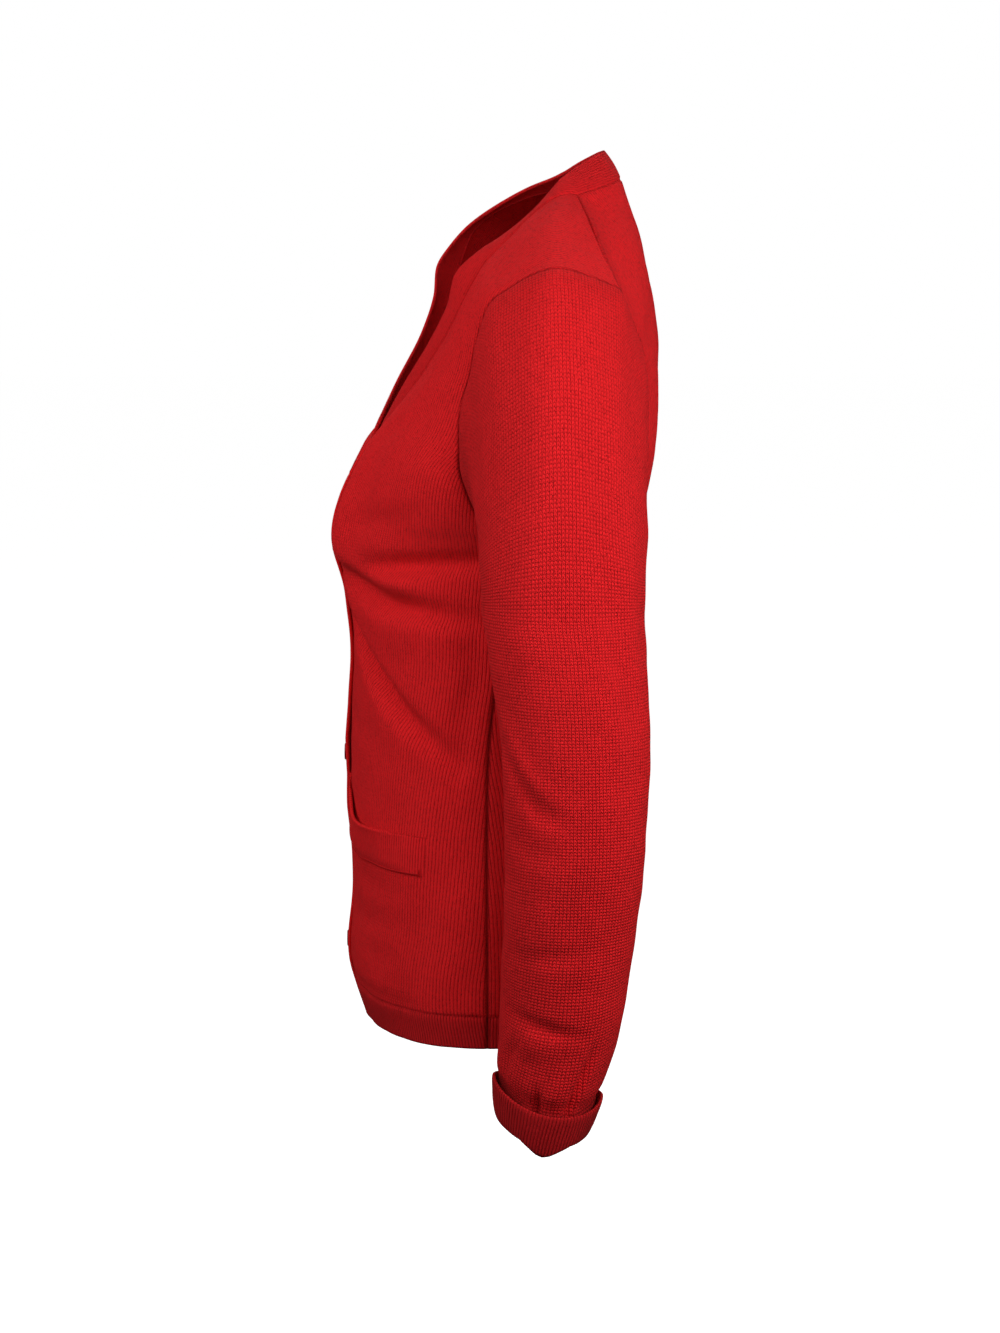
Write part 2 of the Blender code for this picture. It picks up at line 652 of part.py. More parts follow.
def button(name, band, height):
    """Four-hole button on the right band, facing as the band does there."""
    middle = band.mean(axis=1)
    order = np.argsort(middle[:, 2])
    z, y = middle[order, 2], middle[order, 1]
    low, high = (np.interp(height + d, z, y) for d in (-BUTTON_RADIUS, BUTTON_RADIUS))
    tilt = np.arctan2(high - low, 2 * BUTTON_RADIUS)
    facing = np.array([0, -np.cos(tilt), np.sin(tilt)])
    upright = np.array([0, np.sin(tilt), np.cos(tilt)])
    seat = np.array([0, min(np.interp(height, z, y), (low + high) / 2), height])
    seat = seat + facing * BUTTON_STAND
    turn = 2 * np.pi * np.arange(BUTTON_SIDES) / BUTTON_SIDES
    points = []
    for share, depth in BUTTON_SECTION:
        radius = BUTTON_RADIUS * share
        for a in turn:
            spread = np.array([radius * np.cos(a), 0, 0]) + radius * np.sin(a) * upright
            points.append(seat + facing * depth * BUTTON_DEPTH + spread)
    n, last = BUTTON_SIDES, (len(BUTTON_SECTION) - 1) * BUTTON_SIDES
    faces = [list(range(n))[::-1], list(range(last, last + n))]
    for r in range(len(BUTTON_SECTION) - 1):
        for c in range(n):
            d = (c + 1) % n
            faces.append([r * n + c, r * n + d, (r + 1) * n + d, (r + 1) * n + c])
    made = add_object(name, points, faces, "button")

    mesh = bpy.data.meshes.new(name + "_holes")
    cutter = bmesh.new()
    for across, up in ((1, 1), (1, -1), (-1, 1), (-1, -1)):
        place = Vector(seat + facing * BUTTON_DEPTH / 2)
        place += BUTTON_HOLE_OUT * (Vector((across, 0, 0)) + up * Vector(upright))
        turned = Vector((0, 0, 1)).rotation_difference(Vector(facing)).to_matrix().to_4x4()
        bmesh.ops.create_cone(
            cutter,
            cap_ends=True,
            segments=6,
            radius1=BUTTON_HOLE,
            radius2=BUTTON_HOLE,
            depth=3 * BUTTON_DEPTH,
            matrix=Matrix.Translation(place) @ turned,
        )
    cutter.to_mesh(mesh)
    cutter.free()
    holes = bpy.data.objects.new(name + "_holes", mesh)
    holes.hide_render = True
    holes.display_type = "WIRE"
    bpy.context.scene.collection.objects.link(holes)
    cut = made.modifiers.new("thread holes", "BOOLEAN")
    cut.operation = "DIFFERENCE"
    cut.object = holes
    return made


def main():
    for old in list(bpy.data.objects):
        bpy.data.objects.remove(old, do_unlink=True)

    left, right = front_grid("left"), front_grid("right")
    half = back_half(right)
    back = folded_back(np.concatenate([mirrored(half[:, :0:-1]), half], axis=1))
    body_top = HEM_CELLS + sum(BODY_CELLS)
    v_row = body_top + sum(UPPER_CELLS[:V_ROW])

    back_edge = divide(smooth(mm([edge for _, edge in NECK_BACK]), (2, 2, 2)), ACROSS_BACK_NECK)
    centre = ACROSS_BACK_NECK + ACROSS_FRONT // 2
    neck_seam = np.concatenate(
        [
            mirrored(right[v_row:, 0]),
            back[-1, centre - ACROSS_BACK_NECK + 1 : centre + ACROSS_BACK_NECK],
            left[:v_row - 1:-1, 0],
        ]
    )
    neck_free = np.concatenate(
        [
            mirrored(neck_edge("right")),
            mirrored(back_edge[1:]),
            back_edge[-2:0:-1],
            neck_edge("left")[::-1],
        ]
    )
    neck = np.array([neck_seam, (neck_seam + neck_free) / 2, neck_free])
    neck[1] += surface_normals(neck)[1] * NECK_ROUND * fade(neck.shape[1])[:, None]

    slit_row = int(np.searchsorted(left[:, 0, 2], mm(WELT_BOTTOM))) - HEM_CELLS
    slit = [(slit_row, c) for c in range(*POCKET_SLIT)]
    shells = [
        Shell("front_left", left[HEM_CELLS:], WALL, holes=slit),
        Shell("front_right", mirrored(right[HEM_CELLS:]), WALL, outward=-1, holes=slit),
        Shell("hem_band_left", left[: HEM_CELLS + 1], BAND_WALL),
        Shell("hem_band_right", mirrored(right[: HEM_CELLS + 1]), BAND_WALL, outward=-1),
        Shell("back", back[HEM_CELLS:], WALL, outward=-1),
        Shell("hem_band_back", back[: HEM_CELLS + 1], BAND_WALL, outward=-1),
        Shell("neck_band", neck, BAND_WALL, outward=-1),
        Shell("button_band_left", band_grid(left[: v_row + 1, 0], -1), BAND_WALL, outward=-1),
        Shell("button_band_right", band_grid(mirrored(right[: v_row + 1, 0]), 1), BAND_WALL),
    ]
    for name, front, flip in (("left", left, 1), ("right", right, -1)):
        loop = np.concatenate([front[body_top:, -1], half[:body_top:-1, -1][1:]])
        folds = (1.0, 0.0) if name == "left" else OTHER_SIDE
        grid = sleeve_grid(loop, sum(UPPER_CELLS[:10]), *folds)
        grid = grid if flip > 0 else mirrored(grid)
        shells.append(Shell("sleeve_" + name, grid, WALL, outward=-flip, closed=True))

        away = surface_normals(front)
        shells.append(welt_shell("pocket_welt_" + name, front, away, flip))
        shells.append(bag_shell("pocket_bag_" + name, front, away, flip))

    normals = shared_normals(shells)
    grids = {}
    for shell in shells:
        grids[shell.name] = shell.grid
        kind = "rib" if "band" in shell.name or "welt" in shell.name else "knit"
        make_shell(shell, normals, kind)
    for side in ("left", "right"):
        cuff("cuff_" + side, grids["sleeve_" + side], normals)
    for number in range(BUTTON_COUNT):
        height = BUTTON_TOP - number * BUTTON_PITCH
        button(f"button_{number + 1}", grids["button_band_right"], height)


main()
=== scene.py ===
"""Women's V-neck button cardigan in fine knit, standing hollow as it is worn.

Lengths are metres, Z is up, the front faces -Y and the wearer's left is +X. Tables are in
millimetres, and mm() turns them into metres where they are read.
"""

from math import cos, pi, radians, sin

import bpy
import numpy as np
from mathutils import Matrix, Vector


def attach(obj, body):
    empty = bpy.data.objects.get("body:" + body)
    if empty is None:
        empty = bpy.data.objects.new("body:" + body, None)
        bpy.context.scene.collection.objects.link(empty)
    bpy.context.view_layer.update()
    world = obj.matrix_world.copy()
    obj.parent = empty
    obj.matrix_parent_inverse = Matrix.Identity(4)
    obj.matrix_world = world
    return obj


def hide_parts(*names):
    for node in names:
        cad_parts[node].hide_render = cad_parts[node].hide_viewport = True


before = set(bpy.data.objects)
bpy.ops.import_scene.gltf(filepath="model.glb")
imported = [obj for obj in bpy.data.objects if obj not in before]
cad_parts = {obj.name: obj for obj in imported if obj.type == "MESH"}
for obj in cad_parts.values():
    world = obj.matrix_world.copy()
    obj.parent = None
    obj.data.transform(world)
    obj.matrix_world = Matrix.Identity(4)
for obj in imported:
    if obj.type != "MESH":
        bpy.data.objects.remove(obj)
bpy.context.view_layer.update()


# ================================================================ camera, light and floor
# The garment is seen in profile from the wearer's left, a little from above. Soft square lamps
# stand in front of it, beside it and behind it, and a pale floor lies below.
AIM = Vector((0.0, -0.0385, -0.300))
CAMERA_AWAY, CAMERA_RISE, CAMERA_LENS = 2.8, radians(7.8), 108.0
# place, aim, side of the square lamp, watts
LAMPS = {
    "near high": ((0.75, 0.35, 0.45), (0.15, 0.0, -0.15), 0.50, 1.5),
    "near low": ((0.95, 0.80, -0.05), (0.10, 0.0, -0.20), 0.50, 1.7),
    "near rear": ((0.80, 0.90, 0.15), (0.18, 0.03, -0.15), 0.40, 6.2),
    "near side": ((0.90, 0.0, 0.10), (0.15, 0.0, -0.10), 0.70, 3.0),
    "front": ((0.35, -1.45, 0.45), (0.0, -0.10, -0.30), 0.80, 11.0),
    "front high": ((0.30, -1.20, 0.50), (0.05, -0.10, -0.20), 0.60, 2.0),
    "behind": ((0.20, 1.50, 0.30), (0.0, 0.0, -0.20), 0.80, 2.0),
    "far side": ((-1.30, 0.0, 0.80), (-0.10, 0.0, -0.20), 0.60, 4.6),
}
FLOOR_HEIGHT, FLOOR_SIDE = -0.86, 24.0

camera_data = bpy.data.cameras.new("camera")
camera_data.sensor_fit = "VERTICAL"
camera_data.sensor_height = 36.0
camera_data.lens = CAMERA_LENS
camera = bpy.data.objects.new("camera", camera_data)
bpy.context.scene.collection.objects.link(camera)
camera.location = AIM + CAMERA_AWAY * Vector((cos(CAMERA_RISE), 0.0, sin(CAMERA_RISE)))
camera.rotation_euler = (AIM - camera.location).to_track_quat("-Z", "Y").to_euler()
bpy.context.scene.camera = camera

for lamp, (place, aim, side, watts) in LAMPS.items():
    light = bpy.data.lights.new(lamp, "AREA")
    light.size = side
    light.energy = watts
    standing = bpy.data.objects.new(lamp, light)
    standing.location = place
    standing.rotation_euler = (Vector(aim) - Vector(place)).to_track_quat("-Z", "Y").to_euler()
    bpy.context.scene.collection.objects.link(standing)


class Value:
    """A number that varies over a surface: a socket whose operators add Math nodes."""

    def __init__(self, finish, socket):
        self.finish, self.socket = finish, socket

    def math(self, operation, *terms):
        return self.finish.node("Math", {"operation": operation}, *terms)

    def of(self, operation):
        return self.math(operation, self)

    def clamped(self):
        """No less than 0 and no more than 1."""
        return self.math("MINIMUM", self.math("MAXIMUM", self, 0.0), 1.0)

    def __add__(self, other):
        return self.math("ADD", self, other)

    def __sub__(self, other):
        return self.math("SUBTRACT", self, other)

    def __rsub__(self, other):
        return self.math("SUBTRACT", other, self)

    def __mul__(self, other):
        return self.math("MULTIPLY", self, other)

    def __truediv__(self, other):
        return self.math("DIVIDE", self, other)

    def __pow__(self, other):
        return self.math("POWER", self, other)

    __radd__, __rmul__ = __add__, __mul__


class Finish:
    """One material. node() adds any node, with its settings first and then its sockets."""

    def __init__(self, name):
        self.material = bpy.data.materials.new(name)
        self.material.use_nodes = True
        self.tree = self.material.node_tree
        self.shader = self.tree.nodes["Principled BSDF"]

    def put(self, socket, value):
        if isinstance(value, Value):
            self.tree.links.new(value.socket, socket)
        elif value is not None:
            socket.default_value = value

    def node(self, kind, settings=None, *values, output=0, **named):
        made = self.tree.nodes.new("ShaderNode" + kind)
        for setting, choice in (settings or {}).items():
            setattr(made, setting, choice)
        for socket, value in zip(made.inputs, values):
            self.put(socket, value)
        for name, value in named.items():
            self.put(made.inputs[name.replace("_", " ")], value)
        return Value(self, made.outputs[output])

    def apart(self, vector):
        """The three numbers of a vector."""
        x = self.node("SeparateXYZ", None, vector)
        return [Value(self, socket) for socket in x.socket.node.outputs]

    def blend(self, amount, low, high):
        """A colour between two others, red, green and blue each."""
        unused = [None] * 5  # the node's sockets for numbers and vectors
        colours = (*low, 1), (*high, 1)
        return self.node("Mix", {"data_type": "RGBA"}, amount, *unused, *colours, output=2)

    def surface(self, **named):
        for name, value in named.items():
            self.put(self.shader.inputs[name.replace("_", " ")], value)
        return self.material


bpy.ops.mesh.primitive_plane_add(size=FLOOR_SIDE, location=(0, 0, FLOOR_HEIGHT))
floor = bpy.context.object
floor.name = "floor"
floor.data.materials.append(
    Finish("pale floor").surface(
        Base_Color=(0.9, 0.9, 0.9, 1),
        Roughness=0.9,
        Emission_Color=(1, 1, 1, 1),
        Emission_Strength=0.97,
    )
)
floor.visible_diffuse = False
floor.visible_glossy = False

bpy.context.scene.view_settings.view_transform = "Standard"
world = bpy.data.worlds.new("studio")
world.use_nodes = True
bpy.context.scene.world = world
sky = world.node_tree
sky.nodes["Background"].inputs["Color"].default_value = (1.0, 0.985, 0.975, 1)
sky.nodes["Background"].inputs["Strength"].default_value = 0.03
backdrop = sky.nodes.new("ShaderNodeBackground")
backdrop.inputs["Color"].default_value = (1, 1, 1, 1)
seen = sky.nodes.new("ShaderNodeLightPath")
either = sky.nodes.new("ShaderNodeMixShader")
sky.links.new(seen.outputs["Is Camera Ray"], either.inputs["Fac"])
sky.links.new(sky.nodes["Background"].outputs[0], either.inputs[1])
sky.links.new(backdrop.outputs[0], either.inputs[2])
sky.links.new(either.outputs[0], sky.nodes["World Output"].inputs["Surface"])


# ================================================================ fronts
# Two knitted panels of fine stockinette, one layer each. They are sewn to their bands, to the back
# behind the shoulder and down the side, and to the sleeves. Each pocket mouth is a real slit.
WALL = 0.0020
SEAM_GAP = 0.0005
SEAM_DIP, LINKED_DIP = 0.0012, 0.0009  # depth of a seam's groove, and where a band is linked on
SEAM_REACH = 0.0012  # half the width of the groove
LINKED_SHADE = 0.3  # share of a seam's painted shade where a band is linked on and lies flat
TUCK = 0.0012  # how far the sleeve reaches in under the armhole's edge
NAP_FROM, NAP_FADE = 0.22, 0.14  # how far below the shoulders the worn nap begins, and its rise
PAINTED_SHADE_REACH = 0.0018  # how far the painted shade beside a seam reaches
PAINTED_SHADE_STRENGTH = 0.8  # how much darker the painted shade makes the yarn where it is full
PRESSED = 0.8  # share of the wall lost where an edge is stitched down flat
SEWN_OVER = 0.4  # how far a sewn edge reaches past its seam, as a share of its first short cell
ROW_STEP = 0.0036
COLUMN_STEP = 0.0034
RED = (0.86, 0.0125, 0.0160)
UNDER = 0.0034  # how far the left front's edge lies behind the right one's
# height, centre front y, centre back y, half width at the side seam, side seam y
BODY = (
    (-528.3, -138.0, 47, 195, -47),
    (-507, -144.5, 49, 194, -47),
    (-450, -142.0, 53, 190, -47),
    (-380, -145.5, 54, 180, -47),
    (-320, -144.0, 50, 171, -45),
    (-285, -142.8, 49, 168, -40),
    (-245, -146.6, 53, 166, -29),
)
FRONT_REACH, FRONT_TURN = 0.62, 0.62  # how square a front section is, at its middle and side
BACK_REACH, BACK_TURN = 0.55, 0.60
# inner end, pull at the inner end, pull at the outer end, outer end (x, y, z each)
UPPER_FRONT = (
    ((15, -155.9, -205), (95, -0.5, 0), (6, -60, 0), (160, -15, -205)),
    ((15, -150, -178), (90, 4, -3), (6, -45, 0), (160, -45, -187)),
    ((15, -128, -138), (80, 0, -4), (4, -38, 3), (160, -63, -154)),
    ((43, -105, -106), (50, -4, -8), (-10, -28, 8), (155, -65, -134.5)),
    ((70, -82, -74), (28, -8, -10), (-22, -20, 10), (150, -64, -108.5)),
    ((85, -69, -53), (23, -7, -8), (-20, -14, 10), (150, -58, -85.5)),
    ((94, -55, -28), (21, -6, -6), (-20, -8, 10), (155, -52, -59)),
    ((97, -45, -12), (23, -3, -4), (-22, -4, 10), (165, -44, -38)),
    ((95, -32, 2), (25, 0, -2), (-25, 0, 11), (172, -34, -30)),
    ((90, -18, 16), (30, 0, -4), (-30, 0, 13), (182, -19, -20)),
    ((83, -2, 28), (34, 1, -8), (-34, 0, 13), (186, 0, -15)),
    ((76.5, 6, 30.5), (34, 5, -11), (-34, -5, 13), (180, 20, -20.5)),
    ((70, 14, 30), (32, 9, -17), (-32, -9, 17), (165, 41, -29.5)),
)
V_ROW = 2  # the row of UPPER_FRONT where the button band ends and the neck band begins
TOP_ROW = 10  # the row at the tip of the shoulder
NECK_LEAN = (0, 1, 6, 11, 15, 20, 27, 25, 13, 3, 0)  # right neck edge ahead of the left one
NECK_UNDER = (3.7, 4.6, 2, 0.5, 0, 0, 0, 0, 0, 0, 0)
# depth (in is negative), half width, path: distance from the front edge and height
FRONT_FOLDS = (
    (-2.6, 10, ((66, -192), (100, -186), (150, -180))),
    (-8.0, 7, ((88, -218), (128, -214), (165, -211), (204, -209))),
    (4.4, 9, ((104, -231), (150, -230))),
    (-10.0, 9.0, ((22, -222), (49, -228), (72, -233), (117, -239), (150, -243), (196, -248))),
    (1.2, 12, ((84, -256), (150, -268))),
    (-1.0, 9, ((8, -262), (50, -272))),
    (
        -9.6, 8.0,
        ((14, -238), (46, -260), (66, -271), (82, -281))
        + ((97, -289), (118, -301), (150, -319), (190, -343)),
    ),
    (1.0, 12, ((100, -312), (150, -336))),
    (-0.9, 9, ((20, -318), (70, -330), (110, -334))),
    (-1.0, 8, ((84, -428), (130, -431), (160, -428))),
    (-0.9, 9, ((60, -452), (100, -456), (146, -451))),
    (-0.8, 9, ((92, -474), (132, -478), (170, -474))),
    (-1.4, 5, ((20, -503), (90, -503.5), (190, -503))),
    (-1.0, 10, ((30, -150), (60, -128), (84, -104))),
    (-0.9, 10, ((120, -150), (138, -120), (140, -92))),
    (5.8, 22, ((36, -120), (42, -165), (44, -205), (43, -235), (42, -248))),
    (-2.4, 12, ((186, -236), (190, -280), (188, -330), (184, -370))),
)
OTHER_SIDE = (0.85, -9)  # depth share and rise in mm of the right side's folds
# waves of the cloth that no fold accounts for: wavelength and height in mm
WAVES = ((95, 0.75), (60, 0.45), (37, 0.26), (23, 0.15), (14, 0.08))
POCKET = (36, 172, -489, -395)  # the pouch that shows through: sides, bottom, top
POUCH_RELIEF, POUCH_FADE = 0.0007, 5.0
FRONT_WIDTH = 0.215
SLIT = (66, 168, -413, -400)  # the pocket mouth cut in the front: sides, bottom, top
FRONT_CUT, FRONT_AREA = (0.230, 0.615), 0.101  # of one front before it is sewn: metres, sq metres


def mm(values):
    """Millimetres of a table as metres."""
    return np.asarray(values, float) * 0.001


def smooth(keys, cells, spaced_by=None):
    """Rows on a smooth surface through the key rows, with cells[k] steps from key k to k+1."""
    keys = np.asarray(keys, float)
    knots = row_knots(keys if spaced_by is None else spaced_by)
    slopes = np.gradient(keys, knots, axis=0)
    rows = [keys[0]]
    for k, count in enumerate(cells):
        length = knots[k + 1] - knots[k]
        for t in np.arange(1, count + 1) / count:
            rows.append(
                (2 * t**3 - 3 * t**2 + 1) * keys[k]
                + (t**3 - 2 * t**2 + t) * length * slopes[k]
                + (3 * t**2 - 2 * t**3) * keys[k + 1]
                + (t**3 - t**2) * length * slopes[k + 1]
            )
    return np.array(rows)


def row_knots(keys):
    """Mean distance along a set of key rows."""
    keys = np.asarray(keys, float)
    steps = np.linalg.norm(np.diff(keys, axis=0), axis=-1).reshape(len(keys) - 1, -1).mean(axis=1)
    return np.concatenate([[0.0], np.cumsum(steps)])


def cells_between(keys, step=ROW_STEP):
    """How many cells of about one step fit from each key row to the next."""
    return [max(2, round(gap / step)) for gap in np.diff(row_knots(keys))]


def bezier(points, count=240):
    """Cubic Bezier curve through the first and last of four points."""
    t = np.linspace(0, 1, count + 1)[:, None]
    a, b, c, d = (np.asarray(p, float) for p in points)
    return (1 - t) ** 3 * a + 3 * t * (1 - t) ** 2 * b + 3 * t**2 * (1 - t) * c + t**3 * d


def lengths(line):
    """Distance along a line to each of its points."""
    return np.concatenate([[0.0], np.cumsum(np.linalg.norm(np.diff(line, axis=0), axis=1))])


def divide(line, count):
    """The line's points again, count cells of equal length."""
    along = lengths(line)
    at = np.linspace(0, along[-1], count + 1)
    return np.stack([np.interp(at, along, line[:, k]) for k in range(3)], axis=1)


def body_row(row, inner_x, front):
    """Half section of the body at one height, from its middle to the side seam."""
    height, front_y, back_y, half_width, side_y = row
    middle_y = front_y if front else back_y
    reach, turn = (FRONT_REACH, FRONT_TURN) if front else (BACK_REACH, BACK_TURN)
    return (
        (inner_x, middle_y, height),
        (inner_x + reach * (half_width - inner_x), middle_y, height),
        (half_width, side_y + turn * (middle_y - side_y), height),
        (half_width, side_y, height),
    )


def pulled_row(inner, inner_pull, outer_pull, outer):
    """The four Bezier points of a row that is given by its ends and pulls."""
    return (inner, np.add(inner, inner_pull), np.add(outer, outer_pull), outer)


def front_rows(side):
    """Key rows of a front, in the left-hand frame: "left", "right" or the "plain" form of both."""
    rows = [body_row(row, 15, True) for row in BODY]
    rows += [pulled_row(*row) for row in UPPER_FRONT]
    rows = mm(rows)
    first_neck = len(BODY) + V_ROW
    if side == "left":
        rows[:first_neck, 0, 1] += UNDER
        rows[:first_neck, 1, 1] += 0.3 * UNDER
        rows[first_neck:, 0, 1] += mm(NECK_UNDER)
        rows[first_neck:, 1, 1] += 0.3 * mm(NECK_UNDER)
    elif side == "right":
        rows[first_neck:, 0, 1] -= mm(NECK_LEAN)
        rows[first_neck:, 1, 1] -= 0.6 * mm(NECK_LEAN)
    return rows


def surface_normals(grid, around=False):
    """Unit normals of a grid that point to the left of its rows' direction."""
    along = np.gradient(grid, axis=0)
    across = np.gradient(grid, axis=1)
    if around:
        across = np.roll(grid, -1, axis=1) - np.roll(grid, 1, axis=1)
    away = np.cross(across, along)
    return away / np.linalg.norm(away, axis=-1, keepdims=True)


def run_lengths(grid, axis):
    """Distance along each row (axis 1) or column (axis 0) to each of its points."""
    steps = np.linalg.norm(np.diff(grid, axis=axis), axis=-1)
    start = np.zeros_like(steps[:1] if axis == 0 else steps[:, :1])
    return np.cumsum(np.concatenate([start, steps], axis=axis), axis=axis)


def fold_depth(flat, folds, share=1.0, rise=0.0):
    """Offsets in metres that folds give at points of a flat piece in millimetres.

    A fold runs out softly at both ends, and the cloth beside it stands a little proud.
    """
    total = np.zeros(flat.shape[:-1])
    for depth, width, path in folds:
        path = np.array(path, float) + (0, rise)
        steps = np.linalg.norm(np.diff(path, axis=0), axis=1)
        nearest = np.full(flat.shape[:-1], np.inf)
        place = np.zeros(flat.shape[:-1])
        passed = 0.0
        for a, b, step in zip(path[:-1], path[1:], steps):
            run = b - a
            t = np.clip(((flat - a) @ run) / (run @ run), 0, 1)
            gap = np.linalg.norm(flat - a - t[..., None] * run, axis=-1)
            place = np.where(gap < nearest, (passed + t * step) / steps.sum(), place)
            nearest = np.minimum(nearest, gap)
            passed += step
        strength = np.sin(pi * np.clip(place, 0.04, 0.96)) ** 0.55
        reach = (nearest / width) ** 2
        total += depth * share * strength * (1 - 0.55 * reach) * np.exp(-0.8 * reach)
    return mm(total)


def wave_depth(points, seed=3):
    """Uneven waves in metres, the same for every piece at the same place."""
    draw = np.random.default_rng(seed)
    total = np.zeros(points.shape[:-1])
    for wavelength, height in WAVES:
        for _ in range(5):
            heading = draw.normal(size=3) * (1, 1, 0.8)
            heading *= 2 * pi / mm(wavelength * draw.uniform(0.8, 1.25)) / np.linalg.norm(heading)
            total += mm(height) * 0.45 * np.sin(points @ heading + draw.uniform(0, 2 * pi))
    return total


def fade(count, cells=6.0):
    """Weights that rise from 0 at both ends of a row to 1 within a number of cells."""
    place = np.arange(count)
    near = np.clip(np.minimum(place, count - 1 - place) / cells, 0, 1)
    return near * near * (3 - 2 * near)


def edge_lines(grid, axis):
    """The grid with three more lines close to each end, where its edges will round over."""
    grid = np.moveaxis(grid, axis, 0)
    near, far = [], []
    for share in (0.12, 0.35, 0.65):
        near.append(grid[0] * (1 - share) + grid[1] * share)
        far.insert(0, grid[-1] * (1 - share) + grid[-2] * share)
    return np.moveaxis(np.concatenate([grid[:1], near, grid[1:-1], far, grid[-1:]]), 0, axis)


def piece(name, points, faces, spots, finish):
    """A smooth piece of the garment, with the place in the knit of each corner of its faces."""
    mesh = bpy.data.meshes.new(name)
    mesh.from_pydata(points.tolist(), [], faces)
    mesh.uv_layers.new(name="knit").data.foreach_set("uv", spots.reshape(-1))
    mesh.shade_smooth()
    mesh.materials.append(finish)
    made = bpy.data.objects.new(name, mesh)
    bpy.context.scene.collection.objects.link(made)
    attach(made, "root")
    return made


def store_painted_light_and_shade(made, creases):
    """Keep at each point of a piece how much painted shade lies on it; below zero it is a painted
    highlight.
    """
    made.data.attributes.new("painted_light_and_shade", "FLOAT", "POINT").data.foreach_set("value", creases)


def stands_for(made, node, slot, **cut):
    """A sheet takes the place of a CAD node, which is hidden; cut, its size before it is sewn, is
    not used.
    """
    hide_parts(node)


def cloth(
    name, grid, wales, wall, finish,
    outward=1, around=False, cut=None, sewn="", linked="", pressed=(), shaded=(),
):
    """A closed wall of cloth behind a grid of outer points, with round edges and seam grooves.

    wales holds each point's place in the knit, in metres, and cut marks the cells left open.
    The borders are bottom, top, first and last. sewn names those that are seams, which get a groove
    and painted shade beside it, linked those of them that lie flat, with less of both, and pressed
    gives, for those stitched down flat on another piece, how far in the cloth is thinner. shaded
    gives, for those under another piece, how far in the cloth has full painted shade and where it
    ends.
    """
    joined = np.concatenate([grid, wales], axis=-1)
    if around:
        joined = edge_lines(joined, 0)
    else:
        joined = edge_lines(edge_lines(joined, 0), 1)
    grid, wales = joined[..., :3], joined[..., 3:]
    solid = grid[:, :-1] if around else grid
    away = surface_normals(solid, around) * outward
    up, side = run_lengths(solid, 0), run_lengths(solid, 1)
    borders = {"bottom": up, "top": up[-1] - up}
    if not around:
        borders.update({"first": side, "last": side[:, -1:] - side})
    groove, pull, thin, painted_light_and_shade = (np.zeros(up.shape) for _ in range(4))
    for border, reach in borders.items():
        # Painted shade where another piece covers this border.
        if border in shaded:
            dark, clear = shaded[border]
            painted_light_and_shade = np.maximum(painted_light_and_shade, np.clip((clear - reach) / (clear - dark), 0, 1))
        if border in pressed:
            thin = np.maximum(thin, PRESSED * wall * np.exp(-((reach / pressed[border]) ** 2)))
            continue
        if border in sewn:
            dip, shade = (LINKED_DIP, LINKED_SHADE) if border in linked else (SEAM_DIP, 1.0)
            groove = np.maximum(groove, dip * np.exp(-((reach / SEAM_REACH) ** 2)))
            # Painted shade along the seam, where its groove lies in shadow.
            painted_light_and_shade = np.maximum(painted_light_and_shade, shade * np.exp(-((reach / PAINTED_SHADE_REACH) ** 2)))
            continue
        near = np.clip(1 - reach / (0.5 * wall), 0, 1)
        pull = np.maximum(pull, 0.4 * wall * (1 - np.sqrt(1 - near**2)))
    outer = solid - away * (groove + pull + thin)[..., None]
    inner = solid - away * (groove + wall - pull)[..., None]
    for layer in (outer, inner):
        if around:
            ahead = layer[0] - layer[1]
            layer[0] += ahead / np.linalg.norm(ahead, axis=1, keepdims=True) * TUCK
            continue
        for border, lines in (("bottom", layer), ("top", layer[::-1])):
            if border in sewn:
                lines[0] += (lines[0] - lines[1]) * SEWN_OVER
        for border, lines in (("first", layer), ("last", layer[:, ::-1])):
            if border in sewn:
                lines[:, 0] += (lines[:, 0] - lines[:, 1]) * SEWN_OVER

    rows, columns = solid.shape[:2]
    cell_rows, cell_columns = np.meshgrid(
        np.arange(rows - 1), np.arange(columns if around else columns - 1), indexing="ij"
    )
    keep = np.ones(cell_rows.shape, bool) if cut is None else ~cut(solid)
    r, c = cell_rows[keep], cell_columns[keep]
    corners = [(r, c), (r, c + 1), (r + 1, c + 1), (r + 1, c)]
    index = np.stack([a * columns + b % columns for a, b in corners], axis=1)
    place = np.stack([wales[a, b] for a, b in corners], axis=1)
    starts, ends = index, np.roll(index, -1, axis=1)
    count = rows * columns
    lone = ~np.isin(starts * count + ends, ends * count + starts)
    a, b = starts[lone], ends[lone]
    place_a, place_b = place[lone], np.roll(place, -1, axis=1)[lone]
    faces = np.concatenate(
        [index, count + index[:, ::-1], np.stack([b, a, count + a, count + b], axis=1)]
    )
    spots = np.concatenate(
        [place, place[:, ::-1], np.stack([place_b, place_a, place_a, place_b], axis=1)]
    )
    if outward < 0:
        faces, spots = faces[:, ::-1], spots[:, ::-1]
    points = np.concatenate([outer.reshape(-1, 3), inner.reshape(-1, 3)])
    used, faces = np.unique(faces, return_inverse=True)
    faces = faces.reshape(-1, 4)
    made = piece(name, points[used], faces.tolist(), spots, finish)
    store_painted_light_and_shade(made, np.tile(painted_light_and_shade.reshape(-1), 2)[used])
    return made


